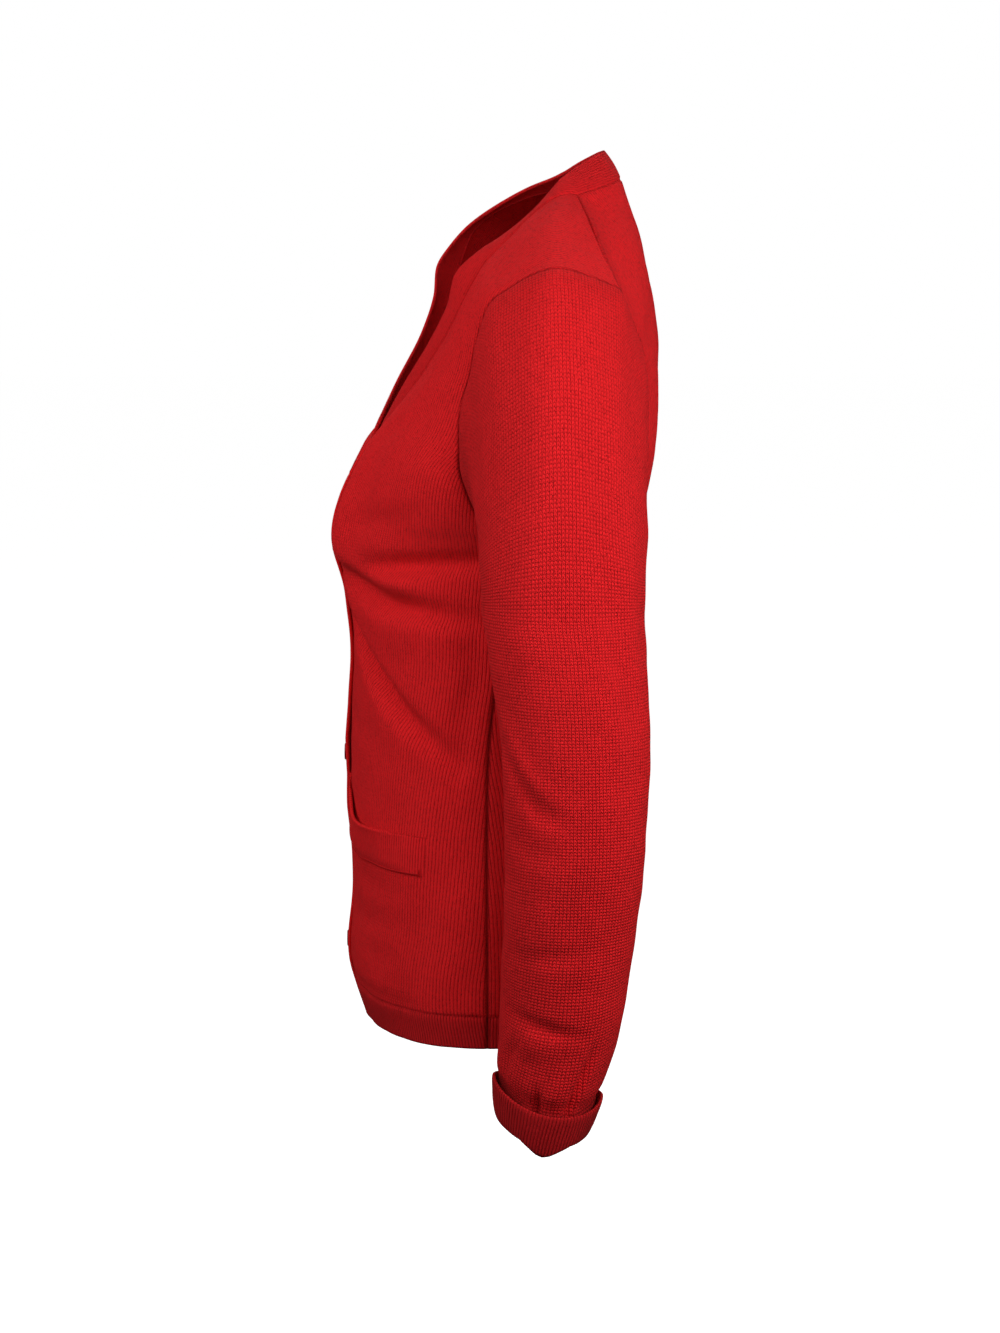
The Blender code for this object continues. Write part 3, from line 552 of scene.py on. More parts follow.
def knit(name, colour, wale, course, relief, dome=0.6, gap=0.5, slant=0.9, depth=0.72, nap=0.0):
    """Knit fabric: columns of V stitches, wale wide and course high, in metres on the knit map.

    dome is the share of a column's round back against its two legs, gap how much painted shade lies
    in the hollow between two courses, and depth how dark the painted shade in the deepest hollows
    is.
    nap is how far the yarn is brushed up over the shoulders, where it is worn most.
    """
    made = Finish(name)
    across, along, _ = made.apart(made.node("UVMap", {"uv_map": "knit"}))
    body = made.node("TexCoord", None, output=3)
    drift = made.node("TexNoise", None, body, Scale=60.0, Detail=2.0, Roughness=0.55)
    column = across / wale + (drift - 0.5) * 0.5
    from_middle = (column.of("FRACT") - 0.5).of("ABSOLUTE") * 2
    leg = from_middle * (1 - from_middle) * 4
    climb = along / course + from_middle * slant
    phase = climb.of("FRACT") * 2 - 1
    strand_round = 1 - phase * phase
    cell = made.node("CombineXYZ", None, column.of("FLOOR"), climb.of("FLOOR"))
    stitch = made.node("TexWhiteNoise", {"noise_dimensions": "2D"}, None, cell)
    round_back = 1 - from_middle**2.4
    height = (round_back * dome + leg * (1 - dome)) * (1 - (1 - strand_round) * gap)
    fuzz = made.node("TexNoise", None, body, Scale=2200.0, Detail=3.0, Roughness=0.7)
    cloud = made.node("TexNoise", None, body, Scale=26.0, Detail=4.0, Roughness=0.6)
    speck = made.node("TexNoise", None, body, Scale=480.0, Detail=3.0, Roughness=0.65)
    # Painted shade in the hollows of the stitches, and tone that differs at random.
    shade = (1 - depth) + height * depth * 1.25 + (fuzz - 0.5) * 0.35 + (stitch - 0.5) * 0.50
    shade = shade + (cloud - 0.5) * 0.16 + (speck - 0.5) * 1.3
    if nap:
        worn = (made.apart(body)[2] / NAP_FADE + NAP_FROM / NAP_FADE).clamped()
        tuft = made.node("TexNoise", None, body, Scale=330.0, Detail=3.0, Roughness=0.7)
        shade = shade + (tuft - 0.5) * nap * worn
    # Painted shade at seams and under the cuffs, and a painted highlight on the cuffs' rims, read
    # from an attribute of the piece.
    painted_light_and_shade = made.node("Attribute", {"attribute_name": "painted_light_and_shade"}, output=2)
    painted_hollow_shade = np.multiply(colour, (0.22, 0.20, 0.20))
    full = np.multiply(colour, (1, 1.15, 1.15))
    mixed = made.blend(shade * (1 - painted_light_and_shade * PAINTED_SHADE_STRENGTH), painted_hollow_shade, full)
    raised = height + fuzz * 0.3 + stitch * 0.15 + speck * 0.5
    bump = made.node("Bump", None, Strength=1.0, Distance=relief, Height=raised)
    return made.surface(
        Base_Color=mixed,
        Roughness=0.9 + (fuzz - 0.5) * 0.15,
        Normal=bump,
        Sheen_Weight=0.05,
        Sheen_Roughness=0.4,
        Sheen_Tint=(1.0, 0.16, 0.14, 1),
        Specular_IOR_Level=0.10,
    )


PLAIN_ROWS = front_rows("plain")
FRONT_CELLS = cells_between(PLAIN_ROWS)
HEM_ROWS = FRONT_CELLS[0]
BODY_ROWS = sum(FRONT_CELLS[: len(BODY)])
V_AT = BODY_ROWS + sum(FRONT_CELLS[len(BODY) : len(BODY) + V_ROW])
TOP_AT = BODY_ROWS + sum(FRONT_CELLS[len(BODY) : len(BODY) + TOP_ROW])
ACROSS_FRONT = round(FRONT_WIDTH / COLUMN_STEP)


def front_grid(side):
    """Outer points of a front and their place in the knit, in the left-hand frame."""
    keys = [divide(bezier(row), ACROSS_FRONT) for row in front_rows(side)]
    plain = [divide(bezier(row), ACROSS_FRONT) for row in PLAIN_ROWS]
    grid = smooth(keys, FRONT_CELLS, plain)
    flat = np.stack([run_lengths(grid, 1), grid[..., 2]], axis=-1) * 1000
    share, rise = (1.0, 0.0) if side == "left" else OTHER_SIDE
    edges = fade(grid.shape[1])
    depth = fold_depth(flat, FRONT_FOLDS, share, rise) * edges
    along, height = flat[..., 0], flat[..., 1]
    inner, outer, bottom, top = POCKET
    pouch = 1.0
    for reach in (along - inner, outer - along, height - bottom, top - height):
        pouch = pouch * np.clip(reach / POUCH_FADE, 0, 1)
    depth = depth + POUCH_RELIEF * pouch
    seen_from = grid if side == "left" else grid * (-1, 1, 1)
    depth = depth + wave_depth(seen_from) * (0.25 + 0.75 * edges)
    moved = grid + surface_normals(grid) * depth[..., None]
    across = run_lengths(grid, 1) + grid[:, :1, 0]
    wales = np.stack([across, run_lengths(grid, 0).mean(axis=1, keepdims=True) + 0 * across], -1)
    return moved, wales, flat


def mirrored(grid):
    return grid * np.array([-1.0, 1.0, 1.0])


def slit(grid):
    """Cells of a front that the pocket mouth leaves open."""
    middle = (grid[:-1, :-1] + grid[1:, 1:]) / 2
    along = run_lengths(grid, 1)[:-1, :-1] * 1000
    height = middle[..., 2] * 1000
    inner, outer, bottom, top = SLIT
    return (along > inner) & (along < outer) & (height > bottom) & (height < top)


# The body's red is a little lighter than the sleeves' RED, though both are the same yarn: painted
# light.
body_knit = knit(
    "body knit", (0.92, 0.0132, 0.0168), wale=0.0025, course=0.0021, relief=0.0010,
    dome=0.7, slant=0.8, nap=1.2,
)
left, left_wales, left_flat = front_grid("left")
right, right_wales, right_flat = front_grid("right")
for side, grid, wales, outward in (
    ("left", left, left_wales, 1),
    ("right", mirrored(right), right_wales, -1),
):
    front = cloth(
        "front_panel_" + side, grid[HEM_ROWS:], wales[HEM_ROWS:], WALL, body_knit,
        outward=outward, cut=slit, sewn="bottom top first last", linked="bottom first",
    )
    stands_for(
        front, "front_" + side, "knit",
        flat=FRONT_CUT, area=FRONT_AREA, held="hung", rests_on=("back_panel", "neck_rib"),
    )


# ================================================================ back
# One piece of the same stockinette from the hem band to the neck, sewn to both fronts down the
# sides and along the shoulder seams, which lie behind the tips of the shoulders.
NECK_CORNER = 0.070
# centre back, pull there, pull at the outer end, outer end
UPPER_BACK = (
    ((0, 56.5, -205), (100, 0, 0), (4, 45, 0), (160, -15, -205)),
    ((0, 61, -176), (100, 0, 0), (0, 30, 0), (157, 22, -192)),
    ((0, 66.5, -140), (90, 1, 0), (-12, 18, 0), (149, 46, -153)),
    ((0, 70, -100), (80, 1, 0), (-28, 10, 2), (141, 57, -108)),
    ((0, 69, -58), (72, 0, -1), (-36, 6, 6), (143, 56, -73)),
    ((0, 63, -20), (68, 0, 0), (-45, 5, 14), (151, 50, -55)),
    ((0, 55, 10), (60, 0, 6), (-74, -27, 58), (159, 45, -41)),
)
# back neck from the neck corner to the centre back: seam, free edge
NECK_BACK = (
    ((70, 14, 30), (54, 7.5, 44.5)),
    ((52, 28, 34), (40, 16.5, 50.5)),
    ((27, 40, 37.5), (21, 28.5, 57)),
    ((0, 45, 39), (0, 33, 59)),
)
BACK_FOLDS = (
    (-2.4, 11, ((60, -262), (110, -255), (165, -262))),
    (-2.2, 11, ((20, -296), (75, -303), (140, -318))),
    (-1.6, 13, ((-150, -205), (-95, -190))),
    (-2.2, 11, ((-165, -282), (-110, -276), (-40, -284))),
    (-1.5, 12, ((-60, -318), (0, -326), (55, -322))),
    (1.4, 14, ((-90, -300), (-20, -306))),
    (-1.4, 14, ((-120, -60), (-70, -40))),
    (-1.4, 14, ((125, -66), (76, -44))),
    (-1.4, 5, ((-185, -503), (0, -503.5), (185, -503))),
)
BACK_NECK_CELLS, BACK_SIDE_CELLS = 21, 34
BACK_NECK_STEPS = (12, 12, 12)
BACK_CUT, BACK_AREA = (0.470, 0.560), 0.206


def back_grid(front):
    """Outer points of the back, from the wearer's right to the left, and their knit places."""
    keys = []
    rows = [body_row(row, 0, False) for row in BODY] + [pulled_row(*row) for row in UPPER_BACK]
    for row in mm(rows):
        line = bezier(row)
        split = np.searchsorted(line[:, 0], NECK_CORNER)
        inner = divide(line[: split + 1], BACK_NECK_CELLS)
        outer = divide(line[split:], BACK_SIDE_CELLS)
        keys.append(np.concatenate([inner, outer[1:]]))
    seam = smooth(mm([point for point, _ in NECK_BACK])[::-1], BACK_NECK_STEPS)
    shoulder = divide(front[-1], BACK_SIDE_CELLS)
    keys.append(np.concatenate([divide(seam, BACK_NECK_CELLS), shoulder[1:]]))
    upper = cells_between(keys[len(BODY) - 1 :])
    upper[0] = FRONT_CELLS[len(BODY) - 1]
    half = smooth(keys, list(FRONT_CELLS[: len(BODY) - 1]) + upper)
    weight = np.linspace(0, 1, half.shape[1])[:, None]
    for r in range(BODY_ROWS + 1):
        half[r] += (front[r, -1] - half[r, -1]) * weight**4
    return half


half_back = back_grid(right)
back = np.concatenate([mirrored(half_back[:, :0:-1]), half_back], axis=1)
across = np.concatenate([-run_lengths(half_back, 1)[:, :0:-1], run_lengths(half_back, 1)], axis=1)
back_wales = np.stack([across, run_lengths(back, 0).mean(axis=1, keepdims=True) + 0 * across], -1)
edges = fade(back.shape[1])
back_depth = fold_depth(back[..., [0, 2]] * 1000, BACK_FOLDS) * edges
back_depth = back_depth + wave_depth(back) * (0.25 + 0.75 * edges)
back_depth[-6:] *= np.linspace(1, 0, 6)[:, None]
back_top = back[-1].copy()
back = back - surface_normals(back) * back_depth[..., None]
back[-1] = back_top
back_panel = cloth(
    "back_panel", back[HEM_ROWS:], back_wales[HEM_ROWS:], WALL, body_knit,
    outward=-1, sewn="bottom top first last", linked="bottom top",
)
stands_for(
    back_panel, "back", "knit", flat=BACK_CUT, area=BACK_AREA, held="hung", rests_on=("neck_rib",)
)


# ================================================================ sleeves
# Set-in sleeves in the same yarn, each a closed tube with a seam along the underarm. The wales
# run down the outer side, and the cap is eased into the armhole.
# height, centre x, centre y, half thickness (x), half depth (y), droop of the outer side, fall
# towards the back
SLEEVE = (
    (-235, 222, 2.7, 44, 53.2, 0, 0),
    (-263, 229, 5.6, 43, 51.2, 0, 0),
    (-301, 235, 8.7, 41.5, 49.5, 0, 0),
    (-340, 239, 10, 40.5, 47.7, 0, 0),
    (-379, 241, 10.3, 39.5, 45.6, 0, 0),
    (-418, 241, 8.4, 38, 43.9, 1, 0),
    (-458, 239, 6, 36, 42.4, 4, 0),
    (-498, 237, 1.8, 34, 40.0, 9, 1),
    (-537, 235, -6.2, 32.5, 34.0, 13.5, 4.5),
    (-551, 234.5, -9.0, 32.5, 31.0, 14, 6),
)
# pulls of the sleeve cap, by the way the seam faces: out of the armhole, and up from the ring
CAP_OUT = {"underarm": 10, "front": 24, "top": 34, "back": 20}
CAP_UP = {"underarm": 10, "front": 62, "top": 112, "back": 66}
CAP_ROWS, ROUND_CELLS = 36, 92
CAP_STRETCH = 0.25  # how much taller the stitches are over the shoulder
SLEEVE_CUT, SLEEVE_AREA = (0.345, 0.575), 0.137
UNDER_CUFF = (0.0105, 0.0165)  # how far in from its end the cuff hides it and the painted shade is full, and where that painted shade ends
# depth, half width, path: degrees from the outer side and height
SLEEVE_FOLDS = (
    (-1.5, 11, ((18, -110), (21, -150), (25, -200), (35, -235), (44, -285), (52, -330))),
    (1.0, 12, ((48, -150), (56, -230), (60, -300))),
    (1.8, 8, ((-80, -290), (-56, -313), (-40, -337), (-20, -350))),
    (-2.4, 8, ((-74, -318), (-48, -341), (-32, -355), (-6, -364))),
    (-1.0, 8, ((-70, -372), (-40, -384), (-10, -384))),
    (-1.3, 6, ((-64, -449), (-42, -452), (-5, -450), (20, -447))),
    (-1.0, 8, ((-5, -470), (30, -474))),
    (-3.2, 4.5, ((-62, -488), (-40, -493), (-5, -500), (22, -503))),
    (1.6, 8, ((-60, -506), (-10, -513))),
    (-4.6, 4.5, ((-14, -568), (-15, -552), (-18, -538))),
    (-5.6, 5.5, ((20, -568), (22, -548), (27, -530), (33, -512))),
    (2.0, 6, ((3, -548), (5, -528))),
    (-2.8, 5.5, ((-100, -533), (-45, -544), (0, -553), (45, -552), (100, -545))),
    (-1.8, 6, ((-66, -540), (-56, -520), (-44, -508))),
    (-2.0, 10, ((100, -345), (140, -335), (185, -348))),
    (-1.8, 10, ((96, -300), (130, -288), (170, -296))),
    (-1.6, 10, ((110, -452), (150, -446), (190, -452))),
)


def ring(row, angle):
    """Points of a sleeve ring. Angle 0 is the outer side, pi/2 the back, pi the underarm."""
    height, x, y, thick, painted_hollow_shade, droop, tilt = mm(row)
    outer = np.clip(np.cos(angle), 0, 1) ** 1.3
    inner = np.clip(-np.cos(angle), 0, 1) ** 1.3
    fall = droop * outer + 0.3 * droop * inner + tilt * np.sin(angle)
    return np.stack(
        [x + thick * np.cos(angle), y + painted_hollow_shade * np.sin(angle), height - fall], axis=1
    )


def by_side(values, angle):
    """A value that turns smoothly from the underarm by the front and the top to the back."""
    outer, side = np.cos(angle), np.sin(angle)
    back, front = np.clip(side, 0, 1) ** 2, np.clip(-side, 0, 1) ** 2
    top, under = np.clip(outer, 0, 1) ** 2, np.clip(-outer, 0, 1) ** 2
    return mm(
        values["back"] * back + values["front"] * front
        + values["top"] * top + values["underarm"] * under
    )[:, None]


def sleeve_grid(up_front, down_back, share, rise, flip):
    """Outer points of a left-hand sleeve, their knit places, and its last rows without folds."""
    loop = np.concatenate(
        [divide(up_front, ROUND_CELLS // 2)[:-1], divide(down_back, ROUND_CELLS // 2)[:-1]]
    )
    angle = pi + 2 * pi * np.arange(ROUND_CELLS) / ROUND_CELLS
    first = ring(SLEEVE[0], angle)
    out = np.stack([np.ones_like(angle), 0.15 * np.sin(angle), -0.2 + 0 * angle], axis=1)
    a, b = loop, loop + out * by_side(CAP_OUT, angle)
    c, d = first + np.array([0, 0, 1.0]) * by_side(CAP_UP, angle), first
    cap = []
    for t in np.arange(CAP_ROWS) / CAP_ROWS:
        cap.append((1 - t) ** 3 * a + 3 * t * (1 - t) ** 2 * b + 3 * t**2 * (1 - t) * c + t**3 * d)
    rings = [ring(row, angle) for row in SLEEVE]
    grid = np.concatenate([cap, smooth(rings, cells_between(rings))])
    turn = np.degrees((angle + pi) % (2 * pi) - pi)
    turn = np.broadcast_to(turn, grid.shape[:2])
    depth = wave_depth(grid if flip > 0 else mirrored(grid)) * 1.1
    for lap in (0, 360):  # a path may cross the underarm line
        flat = np.stack([turn + lap, grid[..., 2] * 1000], axis=-1)
        depth = depth + fold_depth(flat, SLEEVE_FOLDS, share, rise)
    underarm = np.minimum(np.arange(ROUND_CELLS), ROUND_CELLS - np.arange(ROUND_CELLS))
    depth = depth - 0.0008 * np.exp(-(underarm[None] / 0.8) ** 2.0)
    depth[:8] *= np.linspace(0, 1, 8)[:, None]
    depth[-3:] *= np.linspace(1, 0, 3)[:, None]
    closed = np.concatenate([grid, grid[:, :1]], axis=1)
    across = run_lengths(closed, 1)
    across -= across[:, ROUND_CELLS // 2, None]
    down = run_lengths(closed, 0)[:, ROUND_CELLS // 2, None] + 0 * across
    down -= CAP_STRETCH * np.minimum(down, down[CAP_ROWS])
    folded = grid - surface_normals(grid, True) * depth[..., None]
    return folded, np.stack([across, -down], axis=-1), grid[-2:]


sleeve_knit = knit(
    "sleeve knit", RED, wale=0.0024, course=0.0021, relief=0.0010, gap=0.85, slant=0.45
)
sleeve_ends = {}
for side, front, flip in (("left", left, 1), ("right", right, -1)):
    up_front = front[BODY_ROWS : TOP_AT + 1, -1]
    over = np.concatenate([front[TOP_AT:, -1], half_back[-2 : BODY_ROWS - 1 : -1, -1]])
    folds = (1.0, 0.0) if side == "left" else OTHER_SIDE
    grid, wales, end = sleeve_grid(up_front, over, *folds, flip)
    grid, end = (rows if flip > 0 else mirrored(rows) for rows in (grid, end))
    sleeve_ends[side] = end
    grid = np.concatenate([grid, grid[:, :1]], axis=1)
    # The sleeve's end, hidden under the cuff, gets painted shade.
    tube = cloth(
        "sleeve_tube_" + side, grid, wales, WALL, sleeve_knit,
        outward=-flip, around=True, sewn="bottom", shaded={"top": UNDER_CUFF},
    )
    stands_for(
        tube, "sleeve_" + side, "knit", flat=SLEEVE_CUT, area=SLEEVE_AREA, held="hung",
        rests_on=("front_panel_" + side, "back_panel"),
    )


# ================================================================ cuffs
# The rib of each sleeve end is turned back over the sleeve, so its top edge is a soft round rim
# and its lower edge a fold. The ribs run up and down.
# section: down along the sleeve and out from its surface
CUFF_SECTION = (
    (0.5, 0), (12, 0), (12, 0.6), (-9.2, 0.9), (-10.8, 2.3), (-9.4, 3.9), (1, 3.5), (12, 3.1),
    (14, 1.7), (14, -0.8), (12, -2), (0.5, -2),
)
CUFF_SWELL, CUFF_SWELLS = 0.00015, 3  # how uneven its thickness is, and how many times round
# how far its lower edge hangs below an even ring: degrees from its lowest place, mm
CUFF_POINT_AT = 6  # degrees from the outer side towards the back
CUFF_POINT = ((0, 3.6), (8, 2.6), (18, 0), (30, -2.4), (50, -2.0), (75, 0))
CUFF_RIBS, CELLS_A_RIB, RIB_HEIGHT = 98, 4, 0.00036
CUFF_COLUMNS = CUFF_RIBS * CELLS_A_RIB
CUFF_WALE = 0.0024
CUFF_CUT = (0.218, 0.038)
RIM_PAINTED_HIGHLIGHT, RIM_PAINTED_SHADE = 0.55, 0.88  # painted highlight along the rim, and painted shade behind it
RIM_FRONT = 0.0012  # where the front of the rim begins, out from the sleeve: painted highlight before it, painted shade behind


def rounded(line, times=2):
    """A closed line with its corners cut off."""
    line = np.asarray(line, float)
    for _ in range(times):
        ahead = np.roll(line, -1, axis=0)
        line = np.stack([0.75 * line + 0.25 * ahead, 0.25 * line + 0.75 * ahead], axis=1)
        line = line.reshape(-1, 2)
    return line


def lattice(rows, columns, closed=True):
    """Faces of a tube of rings of points, and the row and column of each of their corners."""
    r, c = (np.arange(n) for n in (rows if closed else rows - 1, columns))
    r, c = (x.reshape(-1, 1) for x in np.meshgrid(r, c, indexing="ij"))
    r, c = r + np.array([0, 0, 1, 1]), c + np.array([0, 1, 1, 0])
    return r % rows * columns + c % columns, r, c


# The same yarn as the sleeves, painted much darker: painted shade.
cuff_knit = knit(
    "cuff rib", (0.50, 0.0073, 0.0097), wale=CUFF_WALE, course=0.0016, relief=0.0012,
    dome=0.95, gap=0.2,
)
for side, flip in (("left", 1), ("right", -1)):
    turned = np.concatenate([sleeve_ends[side], sleeve_ends[side][:, :1]], axis=1)
    above, end = (divide(row, CUFF_COLUMNS)[:-1] for row in turned)
    down = end - above
    down /= np.linalg.norm(down, axis=1, keepdims=True)
    around_cuff = np.roll(end, -1, axis=0) - np.roll(end, 1, axis=0)
    out = np.cross(down, around_cuff) * flip
    out /= np.linalg.norm(out, axis=1, keepdims=True)
    section = mm(rounded(CUFF_SECTION))
    rows = end[None] + section[:, :1, None] * down + section[:, 1:, None] * out
    swell = CUFF_SWELL * np.sin(np.arange(CUFF_COLUMNS) * 2 * pi / CUFF_COLUMNS * CUFF_SWELLS + 1)
    rows += (section[:, 1:, None] > 0.001) * out[None] * swell[None, :, None]
    ribs = RIB_HEIGHT * (0.5 - 0.5 * np.cos(np.arange(CUFF_COLUMNS) * 2 * pi / CELLS_A_RIB))
    middle = section.mean(axis=0)
    bulge = (section - middle) / np.linalg.norm(section - middle, axis=1, keepdims=True)
    lowness = np.clip((section[:, :1, None] - section[:, 0].min()) / np.ptp(section[:, 0]), 0, 1)
    ribs = ribs[None, :, None] * np.clip((lowness - 0.10) / 0.12, 0, 1)
    rows += ribs * (bulge[:, 1:, None] * out + 0.3 * bulge[:, :1, None] * down)
    angle = np.abs(np.arange(CUFF_COLUMNS) * 360 / CUFF_COLUMNS - 180 - CUFF_POINT_AT)
    point = mm(np.interp(angle, *zip(*CUFF_POINT)))
    rows += point[None, :, None] * lowness**1.5 * down
    faces, r, c = lattice(*rows.shape[:2])
    across = np.arange(CUFF_COLUMNS + 1) * CUFF_WALE / CELLS_A_RIB
    climb = lengths(np.concatenate([section, section[:1]]))
    spots = np.stack([across[c], climb[r]], axis=-1)
    if flip < 0:
        faces, spots = faces[:, ::-1], spots[:, ::-1]
    cuff = piece("turned_cuff_" + side, rows.reshape(-1, 3), faces.tolist(), spots, cuff_knit)
    # Painted highlight along the front of the rim and painted shade behind it, kept on the cuff's
    # points.
    rim = np.clip(1 - lowness / 0.16, 0, 1)
    rim = np.where(section[:, 1, None, None] > RIM_FRONT, -RIM_PAINTED_HIGHLIGHT * rim, RIM_PAINTED_SHADE * rim)
    store_painted_light_and_shade(cuff, np.broadcast_to(rim[..., 0], rows.shape[:2]).reshape(-1))
    stands_for(
        cuff, "cuff_" + side, "rib", flat=CUFF_CUT, held="folded", rests_on=("sleeve_tube_" + side,)
    )


# ================================================================ hem bands
# A narrow doubled rib that finishes the lower edge, in three stretches between the button bands
# and the side seams. Its lower edge is a fold.
BAND_WALL = 0.0025
HEM_HEIGHT = 0.021
# The same yarn as the body, painted darker: painted shade.
hem_knit = knit(
    "hem rib", (0.62, 0.0090, 0.0120), wale=0.0021, course=0.0015, relief=0.0009, dome=0.9, gap=0.2
)
for name, grid, wales, outward, long in (
    ("left", left, left_wales, 1, 0.226),
    ("right", mirrored(right), right_wales, -1, 0.226),
    ("back", back, back_wales, -1, 0.471),
):
    hem = cloth(
        "hem_rib_" + name, grid[: HEM_ROWS + 1], wales[: HEM_ROWS + 1], BAND_WALL, hem_knit,
        outward=outward, sewn="top first last", linked="top",
    )
    panel = "back_panel" if name == "back" else "front_panel_" + name
    stands_for(
        hem, "hem_band_" + name, "rib", flat=(long, HEM_HEIGHT), held="folded", rests_on=(panel,)
    )


# ================================================================ neck band
# A doubled rib band from the point of the V up both sides and round the back of the neck. It is
# sewn to the panels along its outer edge and stands up a little.
# free edge of the band beside each row of UPPER_FRONT from V_ROW up
NECK_EDGE = (
    (-15, -128, -138), (26, -110, -101), (55, -87.5, -67), (70, -75, -44), (77.5, -68.5, -22),
    (80.5, -54, -8), (79.5, -37, 3), (75.5, -17, 19), (69, -4.5, 33), (63, 1, 39.5),
    (54, 7.5, 44.5),
)
NECK_ROUND = 0.0010  # how far its middle stands proud
NECK_CELLS = 8
NECK_CUT = (0.675, 0.020)
# The same yarn as the body, painted darker: painted shade.
neck_knit = knit(
    "neck knit", (0.74, 0.0108, 0.0138), wale=0.0019, course=0.0015, relief=0.0005,
    gap=0.6, depth=0.6, nap=1.0,
)


def neck_edge(side):
    """Free edge of the neck band from the V to the neck corner, at the rows of a front."""
    edge = mm(NECK_EDGE)
    edge[:, 1] += mm(NECK_UNDER) if side == "left" else -mm(NECK_LEAN)
    return smooth(edge, FRONT_CELLS[len(BODY) + V_ROW :])


back_edge = smooth(mm([edge for _, edge in NECK_BACK]), BACK_NECK_STEPS)
back_edge = divide(back_edge, BACK_NECK_CELLS)
centre = half_back.shape[1] - 1
neck_seam = np.concatenate(
    [
        mirrored(right[V_AT:, 0]),
        back[-1, centre - BACK_NECK_CELLS + 1 : centre + BACK_NECK_CELLS],
        left[: V_AT - 1 : -1, 0],
    ]
)
neck_free = np.concatenate(
    [
        mirrored(neck_edge("right")),
        mirrored(back_edge[1:]),
        back_edge[-2:0:-1],
        neck_edge("left")[::-1],
    ]
)
share = np.linspace(0, 1, NECK_CELLS + 1)[:, None, None]
neck = neck_seam * (1 - share) + neck_free * share
swell = np.sin(pi * share) * NECK_ROUND * fade(neck.shape[1], 3)[None, :, None]
neck = neck + surface_normals(neck) * -swell
neck_wales = np.stack(
    [
        run_lengths(neck, 0),
        (run_lengths(neck, 1)[0] + run_lengths(neck, 1)[-1])[None] / 2 + 0 * neck[..., 0],
    ],
    axis=-1,
)
neck_band = cloth(
    "neck_rib", neck, neck_wales, BAND_WALL, neck_knit,
    outward=-1, sewn="bottom first last", linked="bottom",
)
stands_for(neck_band, "neck_band", "rib", flat=NECK_CUT, held="folded", rests_on=("back_panel",))


# ================================================================ button bands
# Doubled rib bands down both fronts. The right one laps over the left one, with a worked
# buttonhole at each button, and between two of them its free edge lifts a little.
BAND_WIDTH = 0.030
# how far the free edge of the right band stands forward, by height
BAND_LIFT = (
    (-527, 0.6), (-502, 0), (-486, 0), (-460, 0.3), (-434, 0), (-420, 0), (-396, 0.8), (-374, 0),
    (-360, 1.0), (-348, 1.8), (-325, 0.7), (-298, 0), (-284, 0), (-258, 0.6), (-232, 0),
)
BAND_CELLS = 14
BUTTON_COUNT, BUTTON_TOP, BUTTON_PITCH = 6, -0.160, 0.0667
DIMPLES = (2.5, 2.5, 2.5, 0.6, 2.5, 1.4)  # how far each button draws the bands back
DIMPLE_REACH = 0.0098
BAND_CUT = (0.030, 0.398)


def drawn_back(points):
    """How far the buttons draw a band back at its points, in metres."""
    total = np.zeros(points.shape[:-1])
    for number, dimple in enumerate(mm(DIMPLES)):
        height = BUTTON_TOP - number * BUTTON_PITCH
        away = points[..., 0] ** 2 + (points[..., 2] - height) ** 2
        total += dimple * np.exp(-((away / DIMPLE_REACH**2) ** 2))
    return total


def band_grid(seam, width):
    """Button band: across from a front's inner edge to the free edge on the other side."""
    free = seam + np.array([width, 0, 0])
    if width > 0:
        heights, lift = mm(BAND_LIFT).T
        free[:, 1] -= np.interp(seam[:, 2], heights, lift, right=0)
    share = np.linspace(0, 1, BAND_CELLS + 1)[:, None]
    grid = seam[:, None] * (1 - share) + free[:, None] * share
    if width > 0:
        grid[..., 1] += (free[:, 1] - seam[:, 1])[:, None] * (share[:, 0] ** 2 - share[:, 0])
    return grid


rib_knit = knit("rib knit", RED, wale=0.0021, course=0.0015, relief=0.0008, dome=0.9, gap=0.2)
for name, seam, width, outward in (
    ("left", left[: V_AT + 1, 0], -BAND_WIDTH, -1),
    ("right", mirrored(right[: V_AT + 1, 0]), BAND_WIDTH, 1),
):
    grid = band_grid(seam, width)
    if width > 0:
        band_middle = grid.mean(axis=1)
    grid[..., 1] += drawn_back(grid)
    wales = np.stack([run_lengths(grid, 1), run_lengths(grid, 0)], axis=-1)
    band = cloth(
        "button_rib_" + name, grid, wales, BAND_WALL, rib_knit,
        outward=outward, sewn="first", linked="first",
    )
    stands_for(
        band, "button_band_" + name, "rib",
        flat=BAND_CUT, held="folded", rests_on=("front_panel_" + name,),
    )


# ================================================================ buttonholes
# Upright slots in the right band, worked round with close stitches of matching thread. The
# button sits near the top of each.
STITCH_RADIUS, STITCH_PITCH = 0.00055, 0.0008
HOLE_HALF_WIDTH, HOLE_TOP, HOLE_BOTTOM = 0.0011, 0.0040, -0.0085  # heights from the button
STRAND_SIDES = 8


